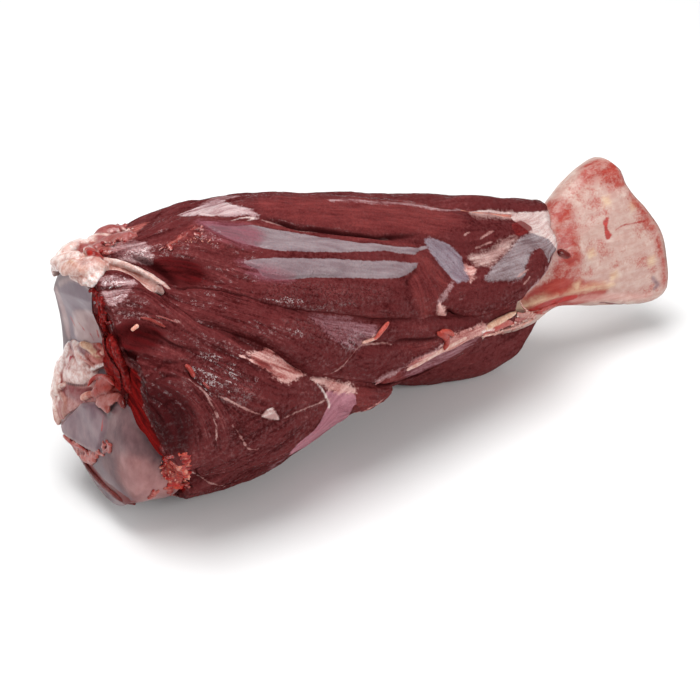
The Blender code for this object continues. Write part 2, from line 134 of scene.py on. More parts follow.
HEEL = [(-215, 150, -4, 42, 14), (-190, 154, 1, 44, 16), (-172, 158, 2, 40, 14), (-158, 160, -8, 24, 8)]
HEEL_RADIUS = 78.0
VALLEY = 1.1
FLANK = 0.85
ELBOW_X = -200.0
ELBOW_SECTION = -190.0
NOTCH_HEIGHT = 104.0
NOTCH_TILT = 0.35
NOTCH_HALF = 36.0
NOTCH_DEPTH = 15.0
NOTCH_FADE = (-8.0, 36.0, 0.6)      # towards the back: from where, over how much, by what share
FACET = (30.0, 36.0, 26.0, 6.0)     # where it is across and up, how wide, and how far it stands out
HEEL_FACE = (-24.0, 45.0, 42.0, 6.0)
RIM = 3.0
WRIST_END = [(-60, 174), (-51, 190), (-45, 197), (-36, 200), (-24, 200), (-1, 197), (14, 190), (26, 183),
    (33, 179.5), (46, 177), (52, 169), (60, 156)]
WRIST_SECTION = 200.0
WRIST_AXIS_HEIGHT = 67.0
WRIST_LEAN = 20.0
JOINT_HOLLOW = 3.0
JOINT_SPACING = 26.0
JOINT_WIDTH = 14.0
NECK_END = -165.0
BLADE_START = 96.0
RING_GAP = 3.0
WEAR_TURNS = 130
WEAR_END = -174.0
WEAR_FADE = 14.0
WORN_CORNER = (112.0, 34.0)         # the angle of the corner that is worn off, and its width
FAN_START = 50.0
FAN_FADE = 12.0
HASH = np.array([374761393, 668265263, 2246822519])
MISS_REACH = 0.25        # metres before and behind the middle, where a missed line looks for the piece
MISS_TRIES = 60
FACES_EYE = -0.12        # how far a place may turn from the eye and still be drawn on
SMOOTH_MARKS = ("skin", "lavender", "purple", "cream", "white", "orange", "silver", "gore")
COMB_REACH = 10.0
COMB_STEP = 0.8


def smooth(rows, x):
    """The columns of rows at x, along smooth curves that pass through every row."""
    rows = np.asarray(rows, float)
    known = rows[:, 0]
    x = np.clip(np.asarray(x, float), known[0], known[-1])
    slopes = np.gradient(rows[:, 1:], known, axis=0)
    index = np.clip(np.searchsorted(known, x) - 1, 0, len(known) - 2)
    width = (known[index + 1] - known[index])[..., None]
    t = (x[..., None] - known[index][..., None]) / width
    start, end = rows[index, 1:], rows[index + 1, 1:]
    blend = (2 * t**3 - 3 * t**2 + 1) * start + (3 * t**2 - 2 * t**3) * end
    bend = (t**3 - 2 * t**2 + t) * slopes[index] + (t**3 - t**2) * slopes[index + 1]
    return np.moveaxis(blend + bend * width, -1, 0)


def line(rows, x):
    return smooth(rows, x)[0]


def turned(angle, centre):
    return (angle - centre + 180) % 360 - 180


def swelling(rows, x, angle, radius):
    """How far one muscle reaches at each x and angle. Beyond its ends it lies deep."""
    centre, lift, half_width, swell = smooth(rows, x)
    across = np.abs(np.radians(turned(angle, centre)) * (radius + lift) / half_width)
    round_part = np.minimum(across, FLANK)
    slope = FLANK / np.sqrt(1 - FLANK**2)
    height = np.sqrt(1 - round_part**2) - slope * (across - round_part)
    beyond = np.maximum(0, rows[0][0] - x) + np.maximum(0, x - rows[-1][0])
    return radius + lift + swell * (height - 1) - 3 * beyond


def hull(reaches):
    """The smooth outer hull of several reaches."""
    reaches = np.stack(reaches)
    highest = reaches.max(axis=0)
    return highest + VALLEY * np.log(np.exp((reaches - highest) / VALLEY).sum(axis=0))


def bone_reach(x, angle):
    """How far the bone reaches: an ellipse that leans back, and the heel of the elbow below it."""
    forward, above, height, thickness, lean, squareness = smooth(BONE, x)
    a, tilt = np.radians(angle), np.radians(lean)
    long_side, short_side = (-np.sin(tilt), np.cos(tilt)), (np.cos(tilt), np.sin(tilt))
    u = (np.sin(a) * long_side[0] + np.cos(a) * long_side[1]) / height
    v = (np.sin(a) * short_side[0] + np.cos(a) * short_side[1]) / thickness
    cu = (forward * long_side[0] + above * long_side[1]) / height
    cv = (forward * short_side[0] + above * short_side[1]) / thickness
    square, middle = u**2 + v**2, u * cu + v * cv
    reach = (middle + np.sqrt(np.maximum(0, middle**2 - square * (cu**2 + cv**2 - 1)))) / square
    reach *= np.sqrt(square) / (np.abs(u) ** squareness + np.abs(v) ** squareness) ** (1 / squareness)
    return hull([reach, np.maximum(swelling(HEEL, x, angle, np.full_like(reach, HEEL_RADIUS)), 1.0)])


def place(x, angle, reach):
    """Millimetres from the leg's axis, as points in metres, never below the floor."""
    a = np.radians(angle)
    up = np.maximum(line(AXIS_HEIGHT, x) + reach * np.cos(a), 0)
    return np.stack([x, -reach * np.sin(a), up], axis=-1) * MM + OFFSET


def rough(points, size, seed, octaves=1):
    """Even, cloudy noise from -1 to 1 at points in metres, with lumps of a size in millimetres."""
    total, share = 0.0, 1.0
    for octave in range(octaves):
        p = points / (size * MM / 2**octave) + 100
        cell = np.floor(p).astype(np.int64)
        f = p - cell
        f = f * f * (3 - 2 * f)
        value = 0.0
        for corner in range(8):
            bit = np.array([corner & 1, corner >> 1 & 1, corner >> 2])
            c = cell + bit
            h = c @ HASH + (seed + octave) * 97
            h = (h ^ (h >> 13)) * 1274126177 & 0x7FFFFFFF
            weight = np.prod(np.where(bit, f, 1 - f), axis=-1)
            value = value + weight * ((h >> 8 & 0xFFFF) / 32767.5 - 1)
        total = total + share * value
        share /= 2
    return total


def step_up(t):
    t = np.clip(t, 0, 1)
    return t * t * (3 - 2 * t)


def grid_faces(index):
    """The four-sided faces of a grid of point numbers."""
    corners = [index[:-1, :-1], index[:-1, 1:], index[1:, 1:], index[1:, :-1]]
    return np.stack([c.ravel() for c in corners], axis=1)


def end_fans(rows, cols):
    """Triangles that close both ends of a tube, round the two points that follow its own."""
    top, first = (rows - 1) * cols, rows * cols
    return ([(first, (k + 1) % cols, k) for k in range(cols)]
            + [(first + 1, top + k, top + (k + 1) % cols) for k in range(cols)])


def within(outline, pixels):
    """Which of the pixels lie inside an outline."""
    inside = np.zeros(len(pixels), bool)
    for a, b in zip(outline, np.roll(outline, -1, 0)):
        crosses = (a[1] > pixels[:, 1]) != (b[1] > pixels[:, 1])
        at = a[0] + (pixels[:, 1] - a[1]) * (b[0] - a[0]) / (b[1] - a[1] + 1e-9)
        inside ^= crosses & (pixels[:, 0] < at)
    return inside


class Sheet:
    """A fine grid over one piece, and what is drawn on it: relief, marks and the run of its fibres."""

    def __init__(self, points, wrapped=False):
        self.points = points
        self.shape = points.shape[:2]
        self.down = np.gradient(points, axis=0)
        ring = np.concatenate([points[:, -1:], points, points[:, :1]], axis=1)
        self.across = np.gradient(ring, axis=1)[:, 1:-1] if wrapped else np.gradient(points, axis=1)
        normal = np.cross(self.across, self.down)
        self.normal = normal / (np.linalg.norm(normal, axis=-1, keepdims=True) + 1e-12)
        self.relief = np.zeros(self.shape)
        self.marks = {}
        index = np.arange(points[..., 0].size).reshape(self.shape)
        if wrapped:
            index = np.concatenate([index, index[:, :1]], axis=1)
        self.faces = grid_faces(index)
        self.tree = BVHTree.FromPolygons(points.reshape(-1, 3).tolist(), self.faces.tolist())
        offset = points - EYE
        depth = -offset @ BACKWARDS
        scale = LENS / SENSOR * PICTURE / depth
        right, up = offset @ RIGHT * scale, offset @ UP * scale
        self.pixels = np.stack([PICTURE / 2 + right, PICTURE / 2 - up], -1)
        self.to_eye = -(self.normal * offset).sum(-1) / np.linalg.norm(offset, axis=-1) > FACES_EYE

    def seen(self, pixels, facing=False):
        """The places that the eye sees at the pixels, which way they face and whether it missed."""
        places, normals, missed = [], [], []
        for direction in sight_lines(np.asarray(pixels, float)):
            hit = self.tree.ray_cast(Vector(EYE), Vector(direction))
            missed.append(hit[0] is None)
            if missed[-1]:
                tries = [self.tree.find_nearest(Vector(EYE + t * direction)) for t in
                         np.linspace(DISTANCE - MISS_REACH, DISTANCE + MISS_REACH, MISS_TRIES)]
                hit = min(tries, key=lambda near: near[3])
            places.append(hit[0])
            normals.append(hit[1])
        return (np.array(places), np.array(normals), np.array(missed)) if facing else np.array(places)

    def near_line(self, path, margin):
        """Grid points round a line: which, their distances to it in mm, and how far along it."""
        flat = self.points.reshape(-1, 3)
        close = (flat > path.min(0) - margin * MM) & (flat < path.max(0) + margin * MM)
        chosen = np.flatnonzero(close.all(axis=1))
        here = flat[chosen]
        best = np.full(len(chosen), 1e9)
        along = np.zeros(len(chosen))
        for k in range(len(path) - 1):
            ab = path[k + 1] - path[k]
            t = np.clip((here - path[k]) @ ab / (ab @ ab + 1e-15), 0, 1)
            d = np.linalg.norm(here - path[k] - t[:, None] * ab, axis=1)
            closer = d < best
            best[closer] = d[closer]
            along[closer] = (k + t[closer]) / (len(path) - 1)
        return chosen, best / MM, along

    def mark(self, name, chosen, depth):
        field = self.marks.setdefault(name, np.full(self.shape, -14.0)).reshape(-1)
        field[chosen] = np.maximum(field[chosen], np.clip(depth, -14, 14))

    def lift(self, chosen, height):
        self.relief.reshape(-1)[chosen] += height

    def patch(self, name, outline, height=0.0, edge=1.0, margin=6):
        """Marks the area inside an outline of pixels, and lifts it by a height in millimetres."""
        pixels = curve_through(outline, True)
        path = self.seen(np.vstack([pixels, pixels[:1]]))
        chosen, depth, _ = self.near_line(path, margin)
        px = self.pixels.reshape(-1, 2)[chosen]
        depth = np.where(within(pixels, px) & self.to_eye.reshape(-1)[chosen], depth, -depth)
        if name:
            self.mark(name, chosen, depth)
        if height:
            self.lift(chosen, height * step_up(depth / edge))
        return chosen, depth

    def streak(self, name, path, width, height=0.0, taper=0.5):
        """Marks a line of pixels of a width in millimetres, tapered at its ends, and lifts it."""
        chosen, distance, along = self.near_line(self.seen(curve_through(path, False)), width + 6)
        thin = (1 - taper) + taper * np.sqrt(np.clip(np.minimum(along, 1 - along) * 4, 0, 1))
        if name:
            self.mark(name, chosen, width / 2 * thin - distance)
        if height:
            self.lift(chosen, height * thin * np.exp(-((distance / (0.6 * width * thin)) ** 2)))

    def crease(self, name, path, width, depth, dark):
        """Sinks a line of pixels, and marks how much painted shade darkens it."""
        chosen, distance, along = self.near_line(self.seen(curve_through(path, False)), 4 * width)
        thin = np.sqrt(np.clip(np.minimum(along, 1 - along) * 5, 0, 1))
        self.lift(chosen, -depth * thin * np.exp(-((distance / width) ** 2)))
        field = self.marks.setdefault(name, np.zeros(self.shape)).reshape(-1)
        field[chosen] = np.maximum(field[chosen], dark * thin * np.exp(-((distance / (1.5 * width)) ** 2)))

    def comb(self, strokes):
        """Lays the fibres along the leg, and along the strokes of pixels near them."""
        e1 = self.down / (np.linalg.norm(self.down, axis=-1, keepdims=True) + 1e-12)
        e2 = np.cross(self.normal, e1)
        double = np.zeros(self.shape + (2,))
        double[..., 0] = 0.15
        for stroke in strokes:
            path = self.seen(curve_through(stroke, False, 8.0))
            for spot, tangent in zip(path, np.gradient(path, axis=0)):
                a = np.arctan2(e2 @ tangent, e1 @ tangent) * 2
                squared = ((self.points - spot) ** 2).sum(-1) / (COMB_REACH * MM) ** 2
                weight = 1 / (0.1 + squared) ** 2
                double += weight[..., None] * np.stack([np.cos(a), np.sin(a)], -1)
        turn = np.arctan2(double[..., 1], double[..., 0]) / 2
        run = np.cos(turn)[..., None] * e1 + np.sin(turn)[..., None] * e2
        uu, vv = (self.down**2).sum(-1), (self.across**2).sum(-1)
        uv = (self.down * self.across).sum(-1)
        ru, rv = (run * self.down).sum(-1), (run * self.across).sum(-1)
        size = uu * vv - uv**2 + 1e-16
        self.run = np.stack([(ru * vv - rv * uv) / size, (rv * uu - ru * uv) / size], -1) * MM
        self.run = np.clip(self.run, -4, 4)

    def combed(self, texture, length):
        """A texture drawn out along the fibres, with a spread of one."""
        rows, cols = self.shape
        total = texture.copy()
        for side in (1, -1):
            i, j = np.indices(self.shape).astype(float)
            previous = self.run * side
            for _ in range(int(length / COMB_STEP)):
                a = np.clip(np.rint(i), 0, rows - 1).astype(int)
                b = np.clip(np.rint(j), 0, cols - 1).astype(int)
                here = self.run[a, b]
                here = here * np.where((here * previous).sum(-1) < 0, -1, 1)[..., None]
                previous = here
                i = np.clip(i + here[..., 0] * COMB_STEP, 0, rows - 1.001)
                j = np.clip(j + here[..., 1] * COMB_STEP, 0, cols - 1.001)
                a, b = i.astype(int), j.astype(int)
                fi, fj = i - a, j - b
                total += ((1 - fi) * (1 - fj) * texture[a, b] + fi * (1 - fj) * texture[a + 1, b]
                          + (1 - fi) * fj * texture[a, b + 1] + fi * fj * texture[a + 1, b + 1])
        total -= total.mean()
        return total / (total.std() + 1e-9)

    def covered(self):
        """How deep each place lies inside the smooth skins and fats, in millimetres."""
        depths = [self.marks[mark] for mark in SMOOTH_MARKS if mark in self.marks]
        return np.max(depths, axis=0) if depths else np.full(self.shape, -6.0)

    def finished(self):
        """The points with their relief, never below the floor."""
        points = self.points + self.normal * (self.relief * MM)[..., None]
        points[..., 2] = np.maximum(points[..., 2], 0)
        return points


patch, streak, crease = Sheet.patch, Sheet.streak, Sheet.crease


def drawn(sheet, features):
    """Draws each feature: the way it is drawn, its mark, its pixels (one path or several) and its sizes."""
    for draw, mark, pixels, *sizes in features.values():
        for path in pixels if isinstance(pixels[0], list) else [pixels]:
            draw(sheet, mark, path, *sizes)


def shown(name, points, faces, sheet):
    mesh = bpy.data.meshes.new(name)
    mesh.from_pydata(points.tolist(), [], faces)
    spare = len(points) - sheet.points[..., 0].size
    for mark, field in sheet.marks.items():
        values = np.concatenate([field.reshape(-1), np.full(spare, field.min())])
        mesh.attributes.new(mark, "FLOAT", "POINT").data.foreach_set("value", values.astype(np.float32))
    form = bmesh.new()
    form.from_mesh(mesh)
    bmesh.ops.recalc_face_normals(form, faces=form.faces)
    form.to_mesh(mesh)
    form.free()
    mesh.shade_smooth()
    return placed(name, mesh)


class Number:
    """A number or colour on its way through a material, with the usual signs for arithmetic."""

    def __init__(self, shader, socket):
        self.shader, self.socket = shader, socket

    def math(self, operation, *others):
        return self.shader.node("Math", {"operation": operation}, dict(enumerate((self, *others))))

    def __add__(self, other):
        return self.math("ADD", other)

    def __mul__(self, other):
        return self.math("MULTIPLY", other)

    def __sub__(self, other):
        return self.math("SUBTRACT", other)

    def __rsub__(self, other):
        return self.shader.node("Math", {"operation": "SUBTRACT"}, {0: other, 1: self})

    __radd__, __rmul__ = __add__, __mul__


class Shader:
    """One material, and a short way to add nodes to it."""

    def __init__(self, name, **constants):
        self.material = bpy.data.materials.new(name)
        self.material.use_nodes = True
        self.tree = self.material.node_tree
        self.surface = self.tree.nodes["Principled BSDF"]
        for key, value in constants.items():
            self.surface.inputs[key.replace("_", " ")].default_value = value
        self.position = self.node("TexCoord", {}, {}, "Object")

    def feed(self, socket, value):
        if isinstance(value, Number):
            self.tree.links.new(value.socket, socket)
        elif isinstance(value, str):
            socket.default_value = (*paint(value), 1)
        else:
            socket.default_value = value

    def node(self, kind, settings, inputs, output=0):
        node = self.tree.nodes.new("ShaderNode" + kind)
        for key, value in settings.items():
            setattr(node, key, value)
        for key, value in inputs.items():
            self.feed(node.inputs[key], value)
        return Number(self, node.outputs[output])

    def read(self, mark):
        return self.node("Attribute", {"attribute_name": mark}, {}, "Fac")

    def noise(self, size, detail=2.0, roughness=0.5, stretch=(1, 1, 1)):
        """Cloudy noise with spots of a size in millimetres, drawn out by the stretch along each axis."""
        scale = [1000 / size / s for s in stretch]
        where = self.node("VectorMath", {"operation": "MULTIPLY"}, {0: self.position, 1: scale})
        return self.node("TexNoise", {}, {"Vector": where, "Scale": 1.0, "Detail": detail,
                                          "Roughness": roughness}, "Fac")

    def ramp(self, value, low, high):
        return self.node("MapRange", {"interpolation_type": "SMOOTHSTEP"},
                         {"Value": value, "From Min": low, "From Max": high})

    def mix(self, share, one, other):
        return self.node("Mix", {"data_type": "RGBA"}, {0: share, 6: one, 7: other}, 2)

    def bump(self, strength, distance, height):
        return self.node("Bump", {}, {"Strength": strength, "Distance": distance, "Height": height})

    def give(self, **values):
        for key, value in values.items():
            self.feed(self.surface.inputs[key.replace("_", " ")], value)


def paint(code):
    """The colour of a hex code, as the linear values that a shader takes."""
    s = np.array([int(code[k:k + 2], 16) for k in (1, 3, 5)]) / 255
    return tuple(float(v) for v in np.where(s <= 0.04045, s / 12.92, ((s + 0.055) / 1.055) ** 2.4))


def elbow_face(y, z):
    """X of the elbow end at a point of it: a notch across its upper half, a facet and a heel below."""
    across = (z - NOTCH_HEIGHT + NOTCH_TILT * y) / NOTCH_HALF
    deep = NOTCH_DEPTH * (1 - NOTCH_FADE[2] * step_up((y - NOTCH_FADE[0]) / NOTCH_FADE[1]))
    face = ELBOW_X + deep * np.maximum(0, 1 - across**2)
    for y0, z0, reach, stand in (FACET, HEEL_FACE):
        face = face - stand * np.exp(-((y - y0) ** 2 + (z - z0) ** 2) / reach**2)
    return face


def wrist_face(y, z):
    """X of the wrist end: its outline over the blade's long side, with shallow joint hollows."""
    lean = np.radians(WRIST_LEAN)
    up_blade = (z - WRIST_AXIS_HEIGHT) * np.cos(lean) + y * np.sin(lean)
    across = -y * np.cos(lean) + (z - WRIST_AXIS_HEIGHT) * np.sin(lean)
    hollows = np.cos(np.pi * up_blade / JOINT_SPACING) * np.exp(-((across / JOINT_WIDTH) ** 2))
    return line(WRIST_END, up_blade) + JOINT_HOLLOW * hollows


def end_rings(face, station, angle, shares):
    """Rings on an end face, at shares of the way from its middle to its rim."""
    reach = bone_reach(np.full_like(angle, station), angle)
    y = -shares[:, None] * reach * np.sin(np.radians(angle))
    up = shares[:, None] * reach * np.cos(np.radians(angle)) + line(AXIS_HEIGHT, station)
    return np.stack([face(y, up), y, np.maximum(up, 0)], axis=-1) * MM + OFFSET


angle = np.arange(0, 360, 1.0)
turn = np.ones_like(angle)
near_reach = bone_reach(ELBOW_SECTION * turn, angle)
far_reach = bone_reach(WRIST_SECTION * turn, angle)
sine, cosine = np.sin(np.radians(angle)), np.cos(np.radians(angle))
rim_x = elbow_face(-near_reach * sine, near_reach * cosine + line(AXIS_HEIGHT, ELBOW_SECTION)) + RIM
end_x = wrist_face(-far_reach * sine, far_reach * cosine + WRIST_AXIS_HEIGHT) - RIM
neck = rim_x + np.linspace(0, 1, 26)[:, None] * (NECK_END - rim_x)
shaft = np.linspace(NECK_END + RING_GAP, BLADE_START - RING_GAP, 36)[:, None] * turn
blade = BLADE_START + np.linspace(0, 1, 96)[:, None] * (end_x - BLADE_START)
sides = np.concatenate([neck, shaft, blade])
around = np.broadcast_to(angle, sides.shape)
rings = np.concatenate([
    end_rings(elbow_face, ELBOW_SECTION, angle, np.linspace(0.02, 0.985, 56)),
    place(sides, around, bone_reach(sides, around)),
    end_rings(wrist_face, WRIST_SECTION, angle, np.linspace(0.985, 0.03, 40))])

worn = rings
for _ in range(WEAR_TURNS):
    worn = (np.roll(worn, 1, 1) + np.roll(worn, -1, 1) + 2 * worn) / 4
    worn[1:-1] = (worn[:-2] + worn[2:] + 2 * worn[1:-1]) / 4
at_elbow = step_up((WEAR_END * MM + OFFSET[0] - rings[..., 0]) / (WEAR_FADE * MM))
from_corner = turned(np.broadcast_to(angle, rings.shape[:2]), WORN_CORNER[0])
front_corner = np.exp(-((from_corner / WORN_CORNER[1]) ** 2))
rings = rings + (worn - rings) * (at_elbow * (0.02 + 0.98 * front_corner))[..., None]
bare = Sheet(rings, wrapped=True)

BONE_FEATURES = {
    "notch skin": (patch, "cartilage", [(57, 290), (63, 284), (75, 280), (88, 290), (95, 305),
        (105, 325), (108, 340), (100, 348), (88, 345), (72, 338), (60, 310)]),
    "facet skin": (patch, "bluish", [(59, 428), (81, 403), (98, 403), (108, 418), (105, 435),
        (98, 453), (76, 442)], 1.6, 2.2),
    "facet rim": (streak, "pearl", [(58, 428), (62, 420), (70, 411), (82, 403), (96, 402)], 2.2, 0.7),
    "facet foot": (streak, "pearl", [(62, 432), (76, 441), (90, 448), (98, 452)], 1.6, 0.4),
    "heel skin": (patch, "heel", [(113, 411), (127, 407), (137, 425), (151, 447), (162, 463),
        (183, 489), (149, 504), (134, 500), (115, 483), (101, 457)]),
    # Painted light: the lower part of the heel made paler and pinker, where more light falls on it.
    "painted light on the low heel": (patch, "rosy", [(120, 455), (150, 460), (175, 482), (183, 489), (149, 504),
        (134, 500), (118, 480)]),
    # Painted light: the lower part of the notch made paler.
    "painted light on the low notch": (patch, "pearl", [(74, 312), (96, 312), (104, 326), (106, 340), (92, 346),
        (76, 336)]),
    # Painted highlight: a pale band down the notch's lit left rim.
    "painted highlight on the notch rim": (streak, "pearl", [(57, 290), (61, 304), (66, 320), (69, 336)], 7.0),
    "notch arch": (streak, "pearl", [(60, 284), (68, 279), (78, 279), (90, 287),
        (95, 300)], 2.2, 0.5),
    "knob red": (patch, "scrape", [(582, 186), (580, 168), (596, 159), (612, 162), (624, 172),
        (626, 188), (610, 190), (598, 182)]),
    "wrist rim red": (streak, "scrape", [(622, 170), (628, 190), (640, 208), (650, 222), (658, 240),
        (663, 262), (665, 285)], 5.0),
    "neck red": (patch, "scrape", [(545, 205), (560, 198), (575, 210), (578, 240), (582, 262),
        (574, 285), (556, 296), (546, 292), (556, 262), (552, 225)]),
    "red streak": (patch, "red", [(603, 221), (609, 216), (608, 229), (612, 235), (607, 240),
        (604, 227)]),
    "thin vein": (streak, "red", [(616, 230), (625, 225), (646, 221)], 0.8),
    "dark hole": (streak, "hole", [(559, 252), (563, 254), (568, 256)], 5.0),
    "yellow spots": (streak, "yellow", [[(590, 253), (593, 255)], [(632, 205), (635, 207)],
        [(650, 260), (653, 262)], [(575, 285), (578, 287)], [(612, 275), (615, 277)], [(605, 200),
        (608, 202)]], 7.0),
    "under yellow": (streak, "yellow", [(500, 316), (530, 303), (560, 293), (590, 287),
        (612, 284)], 4.6, 1.6, 0.2),
    "under red wide": (patch, "flush", [(520, 300), (540, 284), (558, 279), (580, 280), (604, 283),
        (606, 294), (584, 303), (558, 308), (530, 314)]),
    "under red": (streak, "red", [(486, 334), (505, 326), (525, 316), (545, 305),
        (575, 296)], 6.0, 0.4),
    "under pink": (streak, "pink", [(570, 300), (600, 297), (630, 297), (650, 295)], 6.0),
    # Painted shade: a dark line along the underside of the blade's rim.
    "painted shade under the rim": (streak, "hole", [(600, 303), (620, 305), (640, 305)], 2.0, -0.5),
    "blue dent": (streak, "bluish", [(653, 278), (658, 285), (654, 289)], 3.0, -0.5),
    "low skin": (streak, "hole", [(86, 460), (96, 474), (105, 484), (115, 493), (125, 500),
        (136, 505)], 8.0, 0.0, 0.3),
    "red streaks": (streak, "red", [[(78, 322), (84, 330)], [(90, 333), (94, 340)], [(97, 330),
        (99, 338)], [(70, 316), (75, 326)], [(106, 417), (104, 430)], [(107, 445), (106, 449)]], 0.8),
}
drawn(bare, BONE_FEATURES)
blade_part = step_up((bare.points[..., 0] - OFFSET[0] - FAN_START * MM) / (FAN_FADE * MM))
grooves = rough(bare.points / (5, 1, 1), 3, 7) * 0.15 + rough(bare.points / (4, 1, 1), 9, 8) * 0.3
bare.relief += blade_part * (grooves + rough(bare.points, 15, 11, 2) * 0.6)
bare.relief += (1 - blade_part) * rough(bare.points, 18, 12, 2) * 0.5
bare.marks["blade"] = blade_part
points = np.vstack([bare.finished().reshape(-1, 3), rings[:1].mean(axis=1), rings[-1:].mean(axis=1)])
bone = shown("bare_bone", points, bare.faces.tolist() + end_fans(*bare.shape), bare)

# What lies on the bone: a mark, its two colours, how much it hides, how soft and how ragged its edge is.
BONE_COLOURS = [
    ("cartilage", "#735d68", "#67525d", 0.9, 2.5, 0.6),
    ("heel", "#7d5b5c", "#56383c", 0.9, 3.0, 1.0),
    # Painted light on the lower heel.
    ("rosy", "#a07270", "#7e4e4c", 0.85, 5.0, 2.0),
    ("flush", "#8c2018", "#98362b", 0.95, 2.5, 2.0),
    ("pink", "#cfa49b", "#b9837b", 0.6, 2.5, 1.5),
    ("yellow", "#cbb092", "#b88f74", 0.75, 3.0, 2.0),
    ("bluish", "#82656a", "#604650", 0.85, 1.6, 0.6),
    # Pale rims of the facet, and painted light and highlight on the notch.
    ("pearl", "#b9a09c", "#98797a", 0.8, 2.4, 0.8),
    ("scrape", "#8c261e", "#9a3c32", 0.97, 4.0, 3.0),
    ("red", "#a8241f", "#8a1a18", 0.9, 0.6, 0.8),
    # A dark red skin low on the heel, and painted shade under the blade's rim.
    ("hole", "#4e0b0a", "#6a1210", 0.97, 0.8, 0.6),
]

shader = Shader("bare bone and cartilage", Coat_Roughness=0.18, Specular_IOR_Level=0.12,
                Subsurface_Weight=0.15, Subsurface_Scale=0.004, Subsurface_Radius=(1.0, 0.5, 0.4))
cloud, grain, speck = shader.noise(22, 3), shader.noise(4, 4, 0.6), shader.noise(1.2, 3)
veins = shader.noise(3.0, 4, 0.65, stretch=(5, 1, 1))
ragged = (grain - 0.5) * 3.0 + (speck - 0.5)
on_blade = shader.read("blade")
film = shader.noise(7, 4, 0.55, stretch=(1, 1, 1.6))
blotch = shader.ramp(veins * on_blade + (cloud * 0.5 + film * 0.5) * (1 - on_blade), 0.34, 0.66)
smooth_bone = shader.mix(shader.ramp(cloud, 0.3, 0.7), "#5f4c52", "#786264")
fan = shader.mix(shader.ramp(veins * 0.5 + grain * 0.5, 0.3, 0.7), "#ab847b", "#bba298")
stain = shader.ramp(shader.noise(14, 5, 0.65) * 0.75 + speck * 0.25, 0.50, 0.68)
fan = shader.mix(stain * 0.85, fan, "#9c463c")
mottle = shader.noise(5, 5, 0.62, stretch=(1.6, 1, 1)) * 0.85 + speck * 0.15
pallor = shader.ramp(shader.noise(11, 4, 0.6, stretch=(1, 1, 1.7)), 0.55, 0.72)
fan = shader.mix(pallor * 0.6, fan, "#cdbbb1")
colour = shader.mix(on_blade, smooth_bone, fan)
for mark, one, other, hides, soft, wild in BONE_COLOURS:
    share = shader.ramp(shader.read(mark) + ragged * wild, -soft, soft) * hides
    if mark == "scrape":
        share = share * (0.45 + shader.ramp(mottle, 0.36, 0.58) * 0.55)
    colour = shader.mix(share, colour, shader.mix(blotch, other, one))
height = (veins * 0.3 + grain * 0.5) * on_blade + speck * 0.15 + grain * 0.1
shader.give(Base_Color=colour, Roughness=0.34 + (grain - 0.5) * 0.15,
            Coat_Weight=0.08 + shader.ramp(cloud, 0.4, 0.6) * 0.25, Normal=shader.bump(0.6, 0.001, height))
bone.data.materials.append(shader.material)
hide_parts("bone")
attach(bone, "root")


# --- The muscles on top and at the front -----------------------
# The long muscles that straighten the foot: red meat in thin silvery skins, held to the bone by
# tendon at both ends. All the meat of the leg shares one outer form, so its tables stand here.

MEAT_RADIUS = [(-215, 70), (-200, 74), (-180, 78), (-140, 82), (-110, 82.5), (-80, 78.5), (-40, 70),
    (0, 61), (40, 55), (80, 48.5), (100, 43), (120, 37), (135, 34)]
CORE_SINK = 5.0
BACK_FLAT = 0.36
